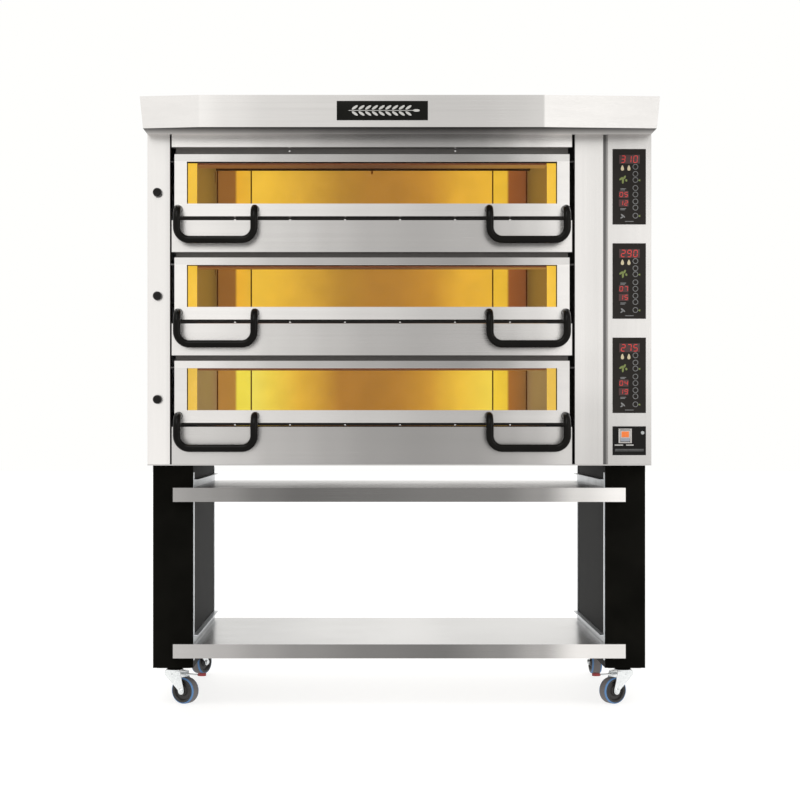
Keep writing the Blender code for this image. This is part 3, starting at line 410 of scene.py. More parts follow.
rod_steel = grainy("rod_steel", (0.42, 0.41, 0.40), (0.60, 0.59, 0.57), 500, 0.3, 0.08, metallic=1.0)
silver = grainy("silver_print", (0.33, 0.325, 0.31), (0.46, 0.45, 0.43), 700, 0.45, 0.04, metallic=0.2)
stone = grainy("hearth_stone", (0.42, 0.35, 0.26), (0.68, 0.60, 0.48), 220, 0.85, 0.6)
wool = grainy("mineral_wool", (0.50, 0.42, 0.24), (0.82, 0.76, 0.56), 420, 0.95, 0.9, detail=6.0, shine=0.05)
oxide = grainy("heating_bar_oxide", (0.05, 0.035, 0.03), (0.14, 0.10, 0.08), 260, 0.55, 0.3, metallic=0.6)
seam_brown = grainy("seam_brown", (0.10, 0.035, 0.010), (0.20, 0.08, 0.02), 300, 0.6, metallic=0.4)
probe_brass = grainy("probe_brass", (0.55, 0.26, 0.06), (0.80, 0.42, 0.12), 300, 0.3, 0.1, metallic=0.6)
grey_nylon = grainy("grey_nylon", (0.30, 0.31, 0.31), (0.40, 0.41, 0.41), 700, 0.5)
pale_plastic = grainy("pale_plastic", (0.36, 0.34, 0.33), (0.46, 0.44, 0.42), 600, 0.4, 0.05)
slate_plastic = grainy("slate_plastic", (0.19, 0.21, 0.25), (0.27, 0.29, 0.33), 600, 0.4, 0.05)
grey_print = grainy("grey_print", (0.13, 0.13, 0.13), (0.20, 0.20, 0.20), 600, 0.5)
tread_blue = grainy("tread_blue", (0.055, 0.15, 0.32), (0.10, 0.22, 0.42), 500, 0.55, 0.3)
tread_grey = grainy("tread_grey", (0.095, 0.088, 0.088), (0.150, 0.138, 0.138), 500, 0.7, 0.5)
rim_black = grainy("wheel_centre_black", (0.010, 0.009, 0.009), (0.022, 0.020, 0.019), 700, 0.45)

# The wool's front twelve centimetres are painted near-black: painted shade for the gaps beside the doors.
GAP_SHADE_DEPTH = 0.12
gap_shade_on_wool = wool.math("LESS_THAN", wool.along("Y"), FRONT + GAP_SHADE_DEPTH)
wool.set(Base_Color=wool.mix(gap_shade_on_wool, wool.base(), grey(0.012)))

CASTORS = ("front_left", "front_right", "rear_left", "rear_right")
dress(powder_black, "left_stand_gable", "right_stand_gable")
dress(galvanised, "rear_panel", "flue_duct", "left_shelf_runners", "right_shelf_runners")
dress(stone, *[f"{deck}_hearth" for deck in DECKS])
dress(foil_black, *[f"{deck}_control_panel" for deck in DECKS])
dress(zinc, *[f"{castor}_castor_fork" for castor in CASTORS])
dress(oxide, "heating_elements")
dress(wool, "insulation_pack")
dress(moulding_black, "power_electronics")
dress(grey_nylon, "cable_gland")
dress(plate_black, "nameplate")
dress(switch_black, "switch_plate")
print("finishes", len(bpy.data.materials))

# %% [markdown]
# ## The hood
# The hood is one folded sheet. Its front face is brushed from end to end with painted reflection zones, its two end
# facets turn away and catch the light and are painted brighter, and its underside sees only the dark slot between
# itself and the doors. So this steel looks at which way a face points: faces that point down lose their shine and get
# a painted shade that is darkest at the lip and lighter towards the oven, and the roof, ends and back have painted
# reflection zones of their own that run from front to rear.

# %% Hood
HOOD_ZONES = [
    (-0.76, 0.80), (-0.588, 0.80), (-0.585, 0.84), (-0.50, 0.74), (-0.38, 0.66), (-0.20, 0.64), (0.0, 0.58),
    (0.08, 0.55), (0.24, 0.55), (0.33, 0.58), (0.4195, 0.62), (0.4215, 0.87), (0.56, 0.84), (0.76, 0.76),
]
ROOF_MIDDLE = 0.1
HOOD_LIP = corners("hood_canopy")[0].y
END_ZONES = [(HOOD_LIP, 0.68), (FRONT, 0.58), (ROOF_MIDDLE, 0.47), (REAR, 0.56)]
ROOF_ZONES = [(HOOD_LIP, 0.62), (FRONT, 0.52), (ROOF_MIDDLE, 0.42), (REAR, 0.48)]
UNDERSIDE_SHADE = [(HOOD_LIP, 0.05), (HOOD_LIP + 0.035, 0.13), (HOOD_LIP + 0.070, 0.26), (HOOD_LIP + 0.105, 0.42), (FRONT, 0.60)]


def by_direction(steel):
    below = steel.math("LESS_THAN", steel.facing("Z"), -0.5)
    above = steel.math("GREATER_THAN", steel.facing("Z"), 0.5)
    not_front = steel.math("GREATER_THAN", steel.facing("Y"), -0.5)
    depth = steel.along("Y")
    turned_away = steel.mix(above, steel.ramp(depth, tones(END_ZONES)), steel.ramp(depth, tones(ROOF_ZONES)))
    seen = steel.mix(not_front, steel.base(), steel.tinted(turned_away, steel.brushing))
    fascia = steel.ramp(steel.along("X"), tones(FASCIA_ZONES))
    # Faces that point down get a painted shade: near-black at the lip, lighter towards the oven.
    underside_shade = steel.mix(1.0, steel.ramp(depth, parts(UNDERSIDE_SHADE), "LINEAR"), fascia, "MULTIPLY")
    steel.set(Base_Color=steel.mix(below, seen, underside_shade), Metallic=steel.math("SUBTRACT", 1.0, below))
    return steel.set(Specular_IOR_Level=0.0, Specular_Tint=EDGE_TINT)


dress(by_direction(brushed_steel("steel_hood", HOOD_ZONES)), "hood_canopy")
print("hood lip at", round(HOOD_LIP, 4))

# %% [markdown]
# The two shelves are the same sheet twice, but the upper one hangs in the oven's shade and the lower one sees the
# bright floor. Their front edges and their tops therefore get separate painted zones of shade and reflection.

# %% Shelves
UPPER_EDGE = [
    (-0.68, 0.35), (-0.60, 0.30), (-0.53, 0.265), (-0.41, 0.175), (-0.30, 0.14), (-0.08, 0.158), (0.12, 0.18),
    (0.30, 0.19), (0.42, 0.28), (0.54, 0.66), (0.66, 0.87),
]
LOWER_EDGE = [
    (-0.68, 0.47), (-0.60, 0.44), (-0.53, 0.41), (-0.41, 0.31), (-0.30, 0.25), (-0.08, 0.19), (0.12, 0.165),
    (0.30, 0.24), (0.42, 0.37), (0.54, 0.76), (0.66, 0.72),
]
UPPER_TOP = [(-0.62, 0.56), (-0.40, 0.62), (-0.10, 0.80), (0.20, 0.90), (0.60, 0.92)]
LOWER_TOP = [(-0.62, 0.48), (-0.45, 0.48), (-0.20, 0.62), (0.05, 0.70), (0.20, 0.60), (0.40, 0.63), (0.60, 0.66)]


def shelf_steel(name, edge_zones, top_zones):
    """Painted edge shade and reflection on the faces that look forwards, painted top shade everywhere else."""
    steel = brushed_steel(name, edge_zones)
    forward = steel.math("LESS_THAN", steel.facing("Y"), -0.5)
    tops = steel.ramp(steel.along("X"), tones(top_zones))
    return steel.set(Base_Color=steel.mix(forward, tops, steel.base()))


dress(shelf_steel("steel_upper_shelf", UPPER_EDGE, UPPER_TOP), "upper_shelf")
dress(shelf_steel("steel_lower_shelf", LOWER_EDGE, LOWER_TOP), "lower_shelf")
print("shelf top at", round(corners("upper_shelf")[1].z, 4))

# %% [markdown]
# ## The lit chambers
# A baking chamber is lined with bare steel that heat has turned straw, gold and brown, and its halogen lamps make
# it glow behind the glass. Real light would need hundreds of bounces between shiny walls, so the glow is painted
# onto the lining itself as emission: every wall has its own run of colours, brightest where the lamps stand in the
# corners, and which wall a face belongs to is read from the way it points. The flange outside the mouth glows only
# behind the glass, brightest at the jambs, and is dark steel elsewhere, painted near-black above each door as
# painted shade for the slot there.

# %% Chamber lining
CHAMBER_HALF = 0.525
FLANGE_DEPTH = 0.004
FLANGE_HALF = 0.552
MOUTH_EDGE = (104, 52, 30)
LOWEST = "bottom_deck"
WALL_OFFSETS = [
    -CHAMBER_HALF, -0.462, -0.456, -0.412, -0.405, -0.345, -0.243, -0.108, 0.0, 0.095, 0.196, 0.297, 0.405, 0.412,
    0.456, 0.462, CHAMBER_HALF,
]
UPPER_WALL = [
    (140, 92, 42), (146, 95, 43), (238, 178, 53), (235, 181, 57), (243, 195, 66), (241, 191, 63), (225, 174, 61),
    (183, 135, 51), (177, 125, 50), (179, 126, 50), (197, 140, 51), (232, 176, 58), (238, 184, 58), (239, 191, 57),
    (238, 188, 57), (149, 84, 41), (124, 71, 40),
]
LOWER_WALL = [
    (172, 122, 58), (179, 129, 59), (243, 223, 78), (243, 223, 80), (245, 226, 97), (243, 213, 79), (229, 179, 63),
    (176, 122, 50), (170, 118, 49), (180, 126, 50), (205, 150, 54), (239, 194, 66), (244, 214, 79), (243, 206, 62),
    (240, 200, 62), (165, 105, 46), (124, 88, 50),
]
UPPER_CHAMBER = {
    "wall": UPPER_WALL,
    "ceiling": [(133, 86, 46), (88, 58, 43), (158, 116, 57)],
    "sides": [(141, 104, 48), (118, 89, 41), (96, 76, 37)],
    "jamb": (250, 200, 62),
}
LOWER_CHAMBER = {
    "wall": LOWER_WALL,
    "ceiling": [(120, 80, 44), (80, 52, 40), (140, 100, 50)],
    "sides": [(148, 121, 78), (126, 103, 72), (126, 103, 72)],
    "jamb": (240, 196, 80),
}


def tint(colour):
    """A colour given as a screen shows it, from 0 to 255."""
    shares = [value / 255 for value in colour]
    return tuple(share / 12.92 if share <= 0.04045 else ((share + 0.055) / 1.055) ** 2.4 for share in shares)


def run_of(places, colours):
    return list(zip(places, map(tint, colours)))


def chamber_lining(deck, look):
    low, high = corners(f"{deck}_chamber")
    door_low, door_high = corners(f"{deck}_door_frame")
    lining = Finish(f"{deck}_lining", metallic=0.3)
    x, y, z = (lining.along(axis) for axis in "XYZ")
    back = lining.ramp(x, run_of([BAY_X + offset for offset in WALL_OFFSETS], look["wall"]), "LINEAR")
    top = lining.ramp(x, run_of((BAY_X - CHAMBER_HALF, BAY_X, BAY_X + CHAMBER_HALF), look["ceiling"]))
    side = lining.ramp(y, run_of((FRONT, FRONT + 0.1, high.y - 0.02), look["sides"]), past=0.02)
    glow = lining.mix(lining.math("LESS_THAN", lining.facing("Z"), -0.5), back, top)
    sideways = lining.math("GREATER_THAN", lining.math("ABSOLUTE", lining.facing("X")), 0.5)
    glow = lining.mix(sideways, glow, side)
    from_middle = lining.math("ABSOLUTE", lining.math("SUBTRACT", x, BAY_X))
    at_jamb = lining.math("GREATER_THAN", from_middle, CHAMBER_HALF - 0.001)
    flange = lining.math("LESS_THAN", y, low.y + FLANGE_DEPTH)
    glow = lining.mix(flange, glow, lining.mix(at_jamb, tint(MOUTH_EDGE), tint(look["jamb"])))
    under_rail = lining.math("LESS_THAN", z, door_high.z - 0.021)
    over_rail = lining.math("GREATER_THAN", z, door_low.z + 0.036)
    behind_glass = lining.math("MULTIPLY", under_rail, over_rail)
    at_flange = lining.math("MULTIPLY", behind_glass, lining.math("LESS_THAN", from_middle, FLANGE_HALF))
    inside = lining.math("LESS_THAN", from_middle, CHAMBER_HALF + 0.0015)
    in_room = lining.math("MULTIPLY", lining.math("SUBTRACT", 1.0, flange), inside)
    lit = lining.math("MAXIMUM", in_room, lining.math("MULTIPLY", at_flange, flange))
    # A patchy patina varies the brightness of the painted glow.
    patina_in_glow = lining.noise(14.0, detail=5.0, roughness=0.65)
    drift = lining.math("ADD", lining.math("MULTIPLY", patina_in_glow, 0.36), 0.82)
    lining.set(Emission_Color=lining.mix(lit, (0, 0, 0), lining.tinted(glow, drift)), Emission_Strength=1.0)
    # Above each door the unlit flange is painted near-black: painted shade for the slot between panel and door.
    shade_over_door = lining.math("GREATER_THAN", z, door_high.z - 0.002)
    flange_shade = lining.mix(shade_over_door, (0.030, 0.027, 0.025), (0.150, 0.142, 0.135))
    lining.set(Base_Color=lining.mix(lit, flange_shade, (0.06, 0.035, 0.012)))
    dress(lining, f"{deck}_chamber")


for deck in DECKS:
    chamber_lining(deck, LOWER_CHAMBER if deck == LOWEST else UPPER_CHAMBER)
print("wall colours", len(UPPER_WALL))

# %% [markdown]
# The panes are clear glass. A render can refract through them, but a thin sheet in front of a glowing room needs
# little more than a hint of itself, so the pane lets nearly all light through and keeps a weak, slightly smeared
# shine.

# %% Door glass
glass = Finish("door_glass")
smear = glass.noise((5.0, 5.0, 22.0), detail=4.0)
glass.set(Base_Color=glass.mix(smear, (0.05, 0.04, 0.02), (0.12, 0.09, 0.05)))
glass.set(Roughness=glass.math("ADD", glass.math("MULTIPLY", smear, 0.10), 0.02))
glass.set(Specular_IOR_Level=0.3, Alpha=0.025)
dress(glass, *[f"{deck}_door_glass" for deck in DECKS])
print("panes", len(DECKS))

# %% [markdown]
# ## Pieces that follow a path
# A bent tube is a polyline with its corners rounded and a circle swept along it. Geometry Nodes hold that rule
# once, with the tube's radius and the bend's radius as inputs, and every handle reuses it. The result is turned
# into a plain mesh, because a finished piece has to travel without its modifier.

# %% Node tree for a bent tube
def new_tree(name, inputs):
    tree = bpy.data.node_groups.new(name, "GeometryNodeTree")
    tree.interface.new_socket("Geometry", in_out="INPUT", socket_type="NodeSocketGeometry")
    for label, kind, default in inputs:
        socket = tree.interface.new_socket(label, in_out="INPUT", socket_type=f"NodeSocket{kind}")
        if default is not None:
            socket.default_value = default
    tree.interface.new_socket("Geometry", in_out="OUTPUT", socket_type="NodeSocketGeometry")
    return tree, tree.nodes.new("NodeGroupInput"), tree.nodes.new("NodeGroupOutput")


def chain(tree, *steps):
    """Links each step's geometry output to the next step's geometry input."""
    for before, after in zip(steps, steps[1:]):
        tree.links.new(before.outputs[0], after.inputs[0])


def bent_tube_tree():
    inputs = [("Radius", "Float", 0.01), ("Bend", "Float", 0.03), ("Sides", "Int", 24), ("Finish", "Material", None)]
    tree, given, result = new_tree("bent_tube", inputs)
    path = tree.nodes.new("GeometryNodeMeshToCurve")
    bend = tree.nodes.new("GeometryNodeFilletCurve")
    bend.mode = "POLY"
    bend.inputs["Count"].default_value = 12
    ring = tree.nodes.new("GeometryNodeCurvePrimitiveCircle")
    sweep = tree.nodes.new("GeometryNodeCurveToMesh")
    sweep.inputs["Fill Caps"].default_value = True
    realize = tree.nodes.new("GeometryNodeRealizeInstances")
    paint = tree.nodes.new("GeometryNodeSetMaterial")
    chain(tree, given, path, bend, sweep, realize, paint, result)
    tree.links.new(given.outputs["Bend"], bend.inputs["Radius"])
    tree.links.new(given.outputs["Radius"], ring.inputs["Radius"])
    tree.links.new(given.outputs["Sides"], ring.inputs["Resolution"])
    tree.links.new(ring.outputs[0], sweep.inputs["Profile Curve"])
    tree.links.new(given.outputs["Finish"], paint.inputs["Material"])
    return tree


def finished(name, mesh, finish=None):
    """A piece at the origin whose place is in its mesh, with its normals turned outwards."""
    shape = bmesh.new()
    shape.from_mesh(mesh)
    bmesh.ops.remove_doubles(shape, verts=shape.verts, dist=0.000002)
    bmesh.ops.recalc_face_normals(shape, faces=shape.faces)
    shape.to_mesh(mesh)
    shape.free()
    if finish:
        mesh.materials.clear()
        mesh.materials.append(finish.material)
    mesh.shade_smooth()
    mesh.set_sharp_from_angle(angle=math.radians(35))
    piece = bpy.data.objects.new(name, mesh)
    bpy.context.scene.collection.objects.link(piece)
    return piece


def mesh_from(shape, name):
    mesh = bpy.data.meshes.new(name)
    shape.to_mesh(mesh)
    shape.free()
    return mesh


def made_from(shape, name, finish):
    return finished(name, mesh_from(shape, name), finish)


def run_tree(name, mesh, tree, **values):
    """Runs a tree on a mesh and returns the result as a plain object of its own."""
    holder = bpy.data.objects.new(name + "_rule", mesh)
    bpy.context.scene.collection.objects.link(holder)
    modifier = holder.modifiers.new("rule", "NODES")
    modifier.node_group = tree
    for item in tree.interface.items_tree:
        if item.item_type == "SOCKET" and item.in_out == "INPUT" and item.name in values:
            modifier[item.identifier] = values[item.name]
    bpy.context.view_layer.update()
    graph = bpy.context.evaluated_depsgraph_get()
    made = bpy.data.meshes.new_from_object(holder.evaluated_get(graph))
    bpy.data.objects.remove(holder)
    made.name = name
    return finished(name, made)


BENT_TUBE = bent_tube_tree()
print("tube tree nodes", len(BENT_TUBE.nodes))

# %% [markdown]
# ## Pull handles
# Each door is lifted by two handles bent from 22 mm round tube. The tube leaves the door's lower rail, turns down,
# crosses below and comes back the same way. Its ends sit on small turned collars.

# %% Handles
HANDLE_TUBE = 0.0112
HANDLE_BEND = 0.037
COLLAR = [(0.0, 0.0), (0.0122, 0.0), (0.0122, 0.0016), (0.0112, 0.0022), (0.0, 0.0022)]


def turned(name, profile, start, direction, finish, sides=32):
    """A lathe: profile is (radius, distance along the direction)."""
    shape = bmesh.new()
    ends = [shape.verts.new((radius, 0, along)) for radius, along in profile]
    for first, second in zip(ends, ends[1:]):
        shape.edges.new((first, second))
    line = shape.verts[:] + shape.edges[:]
    bmesh.ops.spin(shape, geom=line, cent=(0, 0, 0), axis=(0, 0, 1), angle=math.tau, steps=sides, use_merge=True)
    turn = Vector(direction).to_track_quat("Z", "Y").to_matrix().to_4x4()
    bmesh.ops.transform(shape, matrix=Matrix.Translation(start) @ turn, verts=shape.verts)
    bmesh.ops.remove_doubles(shape, verts=shape.verts, dist=0.000005)
    return made_from(shape, name, finish)


def joined(name, pieces):
    """Puts several pieces into one mesh that keeps each one's finish."""
    with bpy.context.temp_override(active_object=pieces[0], selected_editable_objects=pieces):
        bpy.ops.object.join()
    pieces[0].name = name
    pieces[0].data.name = name
    return pieces[0]


def handle(node):
    low, high = corners(node)
    left, right = low.x + HANDLE_TUBE, high.x - HANDLE_TUBE
    top, grip = high.z - HANDLE_TUBE, low.z + HANDLE_TUBE
    door, front = FRONT - HAIR, low.y + HANDLE_TUBE
    path = [(left, door, top), (left, front, top), (left, front, grip)]
    path += [(right, y, z) for _, y, z in reversed(path)]
    line = bpy.data.meshes.new("path")
    line.from_pydata(path, [(index, index + 1) for index in range(len(path) - 1)], [])
    tube = run_tree(node + "_tube", line, BENT_TUBE, Radius=HANDLE_TUBE, Bend=HANDLE_BEND, Finish=gloss_black.material)
    collars = [turned("collar", COLLAR, (x, door, top), (0, -1, 0), gloss_black) for x in (left, right)]
    return joined(node + "_tube", [tube, *collars])


for deck in DECKS:
    for side in ("left", "right"):
        node = f"{deck}_{side}_handle"
        piece = handle(node)
        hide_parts(node)
        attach(piece, f"{deck}_door")
print("handle faces", len(piece.data.polygons))

# %% [markdown]
# ## Small parts that repeat
# Screws, rings and louvres are one shape each, set down many times. The tree takes a model piece and puts a copy
# on every point, facing one way and spun at random about its own axis, because nobody tightens all screws to the
# same angle. The seed is fixed, so the same screws stand the same way in every run.

# %% Node tree for copies on points
def copies_tree():
    inputs = [
        ("Model", "Object", None), ("Size", "Float", 1.0), ("Facing", "Rotation", None), ("Spin", "Float", 6.28),
        ("Seed", "Int", 7), ("Finish", "Material", None),
    ]
    tree, given, result = new_tree("copies_on_points", inputs)
    points = tree.nodes.new("GeometryNodeMeshToPoints")
    model = tree.nodes.new("GeometryNodeObjectInfo")
    model.inputs["As Instance"].default_value = True
    place = tree.nodes.new("GeometryNodeInstanceOnPoints")
    spin = tree.nodes.new("GeometryNodeRotateInstances")
    spin.inputs["Local Space"].default_value = True
    chance = tree.nodes.new("FunctionNodeRandomValue")
    turn = tree.nodes.new("ShaderNodeCombineXYZ")
    realize = tree.nodes.new("GeometryNodeRealizeInstances")
    paint = tree.nodes.new("GeometryNodeSetMaterial")
    chain(tree, given, points, place, spin, realize, paint, result)
    tree.links.new(given.outputs["Model"], model.inputs["Object"])
    tree.links.new(model.outputs["Geometry"], place.inputs["Instance"])
    tree.links.new(given.outputs["Facing"], place.inputs["Rotation"])
    tree.links.new(given.outputs["Size"], place.inputs["Scale"])
    tree.links.new(given.outputs["Spin"], chance.inputs[3])
    tree.links.new(given.outputs["Seed"], chance.inputs["Seed"])
    tree.links.new(chance.outputs[1], turn.inputs["Z"])
    tree.links.new(turn.outputs[0], spin.inputs["Rotation"])
    tree.links.new(given.outputs["Finish"], paint.inputs["Material"])
    return tree


QUARTER = math.radians(90)
FACING = {"front": (QUARTER, 0, 0), "back": (-QUARTER, 0, 0), "left": (0, -QUARTER, 0), "right": (0, QUARTER, 0)}
SCREW_SIDES = 24
SCREW_RINGS = [
    (0.42, "hexagon", 0.20), (0.42, "hexagon", 0.62), (0.62, "round", 0.66), (0.86, "round", 0.54),
    (0.98, "round", 0.30), (1.0, "round", 0.0),
]


def screw_model():
    """A pan head of unit radius with a hexagon recess; rings are (radius, outline, height)."""
    shape = bmesh.new()
    loops = []
    for radius, outline, height in SCREW_RINGS:
        loop = []
        for step in range(SCREW_SIDES):
            angle = math.tau * step / SCREW_SIDES
            reach = radius
            if outline == "hexagon":
                reach *= math.cos(math.pi / 6) / math.cos(angle % (math.tau / 6) - math.pi / 6)
            loop.append(shape.verts.new((reach * math.cos(angle), reach * math.sin(angle), height)))
        loops.append(loop)
    for inner, outer in zip(loops, loops[1:]):
        for step in range(SCREW_SIDES):
            after = (step + 1) % SCREW_SIDES
            shape.faces.new((inner[step], outer[step], outer[after], inner[after]))
    shape.faces.new(loops[0])
    shape.faces.new(list(reversed(loops[-1])))
    return bpy.data.objects.new("screw_model", mesh_from(shape, "screw_model"))


def copies(name, spots, model, size, facing, finish, spin=6.28, seed=7):
    mesh = bpy.data.meshes.new(name + "_spots")
    mesh.from_pydata(spots, [], [])
    values = {"Model": model, "Size": size, "Facing": FACING[facing], "Spin": spin, "Seed": seed}
    return run_tree(name, mesh, COPIES, Finish=finish.material, **values)


COPIES = copies_tree()
SCREW = screw_model()
print("screw faces", len(SCREW.data.polygons))

# %% [markdown]
# In the dark slot under each door a row of small bright screw heads holds the front panel, and two more sit above
# the uppermost door. The side and rear sheets are fastened round their edges.

# %% Screws of the casing
FIRST_SLOT_SCREW = -0.4925
SLOT_SCREW_STEP = 0.165
LINTEL_SCREWS = (-0.329, 0.168)
SLOT_SCREW, SHEET_SCREW = 0.0034, 0.0046
SHEET_TOP_MARGIN = 0.004


def frame_spots(first, second, inset=0.016, step=0.22):
    """Points round a rectangle's edge, a given distance in, at about the given step."""
    a0, b0 = first[0] + inset, first[1] + inset
    a1, b1 = second[0] - inset, second[1] - SHEET_TOP_MARGIN - inset
    across, up = round((a1 - a0) / step), round((b1 - b0) / step)
    spots = []
    for index in range(across + 1):
        a = a0 + (a1 - a0) * index / across
        spots += [(a, b0), (a, b1)]
    for index in range(1, up):
        b = b0 + (b1 - b0) * index / up
        spots += [(a0, b), (a1, b)]
    return spots


flange_y = corners("top_deck_chamber")[0].y - HAIR
slot_spots = []
for deck in DECKS:
    slot_z = (corners(f"{deck}_front_panel")[1].z + corners(f"{deck}_door_frame")[0].z) / 2
    slot_spots += [(FIRST_SLOT_SCREW + index * SLOT_SCREW_STEP, flange_y, slot_z) for index in range(6)]
slot_spots += [(x, flange_y, corners("top_fascia")[0].z - 0.006) for x in LINTEL_SCREWS]
slot_screws = copies("front_slot_screws", slot_spots, SCREW, SLOT_SCREW, "front", bright_screw)
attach(slot_screws, ROOT)

side_low, side_high = corners("right_side_panel")
rear_low, rear_high = corners("rear_panel")
side_spots = frame_spots(side_low.yz, side_high.yz)
for side, sheet in (("left", corners("left_side_panel")[0].x), ("right", side_high.x)):
    spots = [(sheet, y, z) for y, z in side_spots]
    screws = copies(f"{side}_side_screws", spots, SCREW, SHEET_SCREW, side, bright_screw, seed=3)
    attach(screws, ROOT)
rear_spots = [(x, rear_high.y, z) for x, z in frame_spots(rear_low.xz, rear_high.xz)]
rear_screws = copies("rear_panel_screws", rear_spots, SCREW, SHEET_SCREW, "back", bright_screw, seed=5)
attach(rear_screws, ROOT)
print("screws", len(slot_spots) + 2 * len(side_spots) + len(rear_spots))

# %% [markdown]
# ## Folded strips
# Many small parts are strips of sheet or bar: seams in the chambers, labels on the panels, borders. A strip here
# is a box with softened edges. The edges matter more than the faces, because a real edge always catches a thin
# line of light.

# %% Strip helper
def strip(name, low, high, finish, edge=0.0004, turn=None):
    """A bar between two corners with rounded edges; turn is an angle about Y through its middle."""
    low, high = Vector(low), Vector(high)
    size = high - low
    shape = bmesh.new()
    bmesh.ops.create_cube(shape, size=1.0)
    bmesh.ops.scale(shape, vec=size, verts=shape.verts)
    if edge:
        width = min(edge, min(size) * 0.45)
        bmesh.ops.bevel(shape, geom=shape.edges[:], offset=width, segments=2, affect="EDGES", profile=0.6)
    if turn:
        bmesh.ops.rotate(shape, cent=(0, 0, 0), matrix=Matrix.Rotation(turn, 3, "Y"), verts=shape.verts)
    bmesh.ops.translate(shape, vec=(low + high) / 2, verts=shape.verts)
    return made_from(shape, name, finish)


print("strips ready")

# %% [markdown]
# Inside each chamber the back wall is made of three sheets. Their folds stand as dark lines near the corners, and
# a lamp sits on each side wall, high up and towards the door. A short heat probe hangs from the ceiling near the
# back.

# %% Seams and lamps in the chambers
LINING_SHEET = 0.003
CORNER_SEAM = CHAMBER_HALF - LINING_SHEET
SEAMS = [(-0.408, 0.0045), (0.408, 0.0045), (-CORNER_SEAM, 0.004), (CORNER_SEAM, 0.004)]
LAMP = [(0.0, 0.0), (0.026, 0.0), (0.026, 0.003), (0.022, 0.004), (0.020, 0.010), (0.012, 0.014), (0.0, 0.015)]
PROBE = [(0.0, 0.0), (0.0055, 0.0), (0.0055, 0.004), (0.0035, 0.006), (0.0035, 0.022), (0.0018, 0.024), (0.0, 0.024)]
lamp_glow = Finish("lamp_glow", roughness=0.2)
frosting = lamp_glow.noise(160.0)
lamp_glow.set(Base_Color=lamp_glow.mix(frosting, (0.9, 0.75, 0.4), (1.0, 0.9, 0.6)))
lamp_glow.set(Emission_Color=lamp_glow.mix(frosting, (1.0, 0.62, 0.16), (1.0, 0.80, 0.35)), Emission_Strength=0.9)
for deck in DECKS:
    floor_z = corners(f"{deck}_hearth")[1].z + 0.001
    lining_high = corners(f"{deck}_chamber")[1]
    back_y, room_top = lining_high.y - LINING_SHEET, lining_high.z - LINING_SHEET
    seams = []
    for offset, width in SEAMS:
        low = (BAY_X + offset - width / 2, back_y - 0.0025, floor_z)
        high = (BAY_X + offset + width / 2, back_y - HAIR, room_top - 0.001)
        seams.append(strip("seam", low, high, seam_brown))
    seams = joined(f"{deck}_wall_seams", seams)
    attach(seams, ROOT)
    lamps = []
    for side in (-1, 1):
        spot = (BAY_X + side * (CHAMBER_HALF - HAIR), back_y - 0.60, room_top - 0.034)
        lamps.append(turned("lamp", LAMP, spot, (-side, 0, 0), lamp_glow, 24))
    lamps.append(turned("probe", PROBE, (BAY_X, back_y - 0.05, room_top - HAIR), (0, 0, -1), probe_brass, 16))
    lamps = joined(f"{deck}_lamps", lamps)
    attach(lamps, ROOT)
print("back wall at", round(back_y, 4))

# %% [markdown]
# ## Damper knobs
# A knob on the left post pulls a long rod that opens the deck's flue port. The knob is turned with a rounded rim
# and a slight dish, the rod is bare steel, and the blade at its end is bent sheet.

# %% Dampers
KNOB = [
    (0.0, 0.0), (0.0085, 0.0), (0.0092, 0.003), (0.0118, 0.0065), (0.0133, 0.0105), (0.0133, 0.0165),
    (0.0120, 0.0195), (0.0095, 0.0210), (0.0055, 0.0206), (0.0, 0.0203),
]
KNOB_REACH = 0.0135
KNOB_DROP = 0.115
ROD_RADIUS = 0.004
PORT_DEPTH = 0.058
for deck in DECKS:
    node = f"{deck}_damper_knob"
    low, high = corners(node)
    x, z = low.x + KNOB_REACH, corners(f"{deck}_door_frame")[1].z - KNOB_DROP
    port_y, rod_end = high.y - PORT_DEPTH, high.y - FRONT - 0.012
    rod_line = [(0.0, 0.0), (0.0035, 0.0), (ROD_RADIUS, 0.0008), (ROD_RADIUS, rod_end), (0.0, rod_end)]
    knob = turned("knob", KNOB, (x, FRONT - 0.0009, z), (0, -1, 0), knob_black)
    rod = turned("rod", rod_line, (x, FRONT - 0.002, z), (0, 1, 0), rod_steel, 16)
    web = strip("web", (x, port_y, z - 0.0015), (high.x - 0.001, high.y - 0.008, z + 0.0015), rod_steel)
    blade = strip("blade", (high.x - 0.002, port_y, z - 0.006), high, rod_steel)
    damper = joined(f"{deck}_damper", [knob, rod, web, blade])
    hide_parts(node)
    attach(damper, f"{deck}_damper")
print("damper knob at", round(x, 4))

# %% [markdown]
# ## The plate on the hood
# The plate is black with soft edges. Instead of a name it carries a plain ornament printed in silver, a row of
# grains along a stem, which says bakery to anyone and belongs to nobody.

# %% Plate and ornament
plate_low, plate_high = corners("nameplate")
centre = (plate_low + plate_high) / 2
y_print = (plate_low.y, plate_low.y + 2 * HAIR)
GRAIN_TURN = math.radians(34)


def cut_sheet(name, outline, y, finish):
    """A thin mark between two depths, cut to an outline of (x, z) points."""
    shape = bmesh.new()
    back, front = [[shape.verts.new((x, depth, z)) for x, z in outline] for depth in (y[1], y[0])]
    for index in range(len(outline)):
        after = (index + 1) % len(outline)
        shape.faces.new((back[index], back[after], front[after], front[index]))
    shape.faces.new(back)
    shape.faces.new(list(reversed(front)))
    return made_from(shape, name, finish)


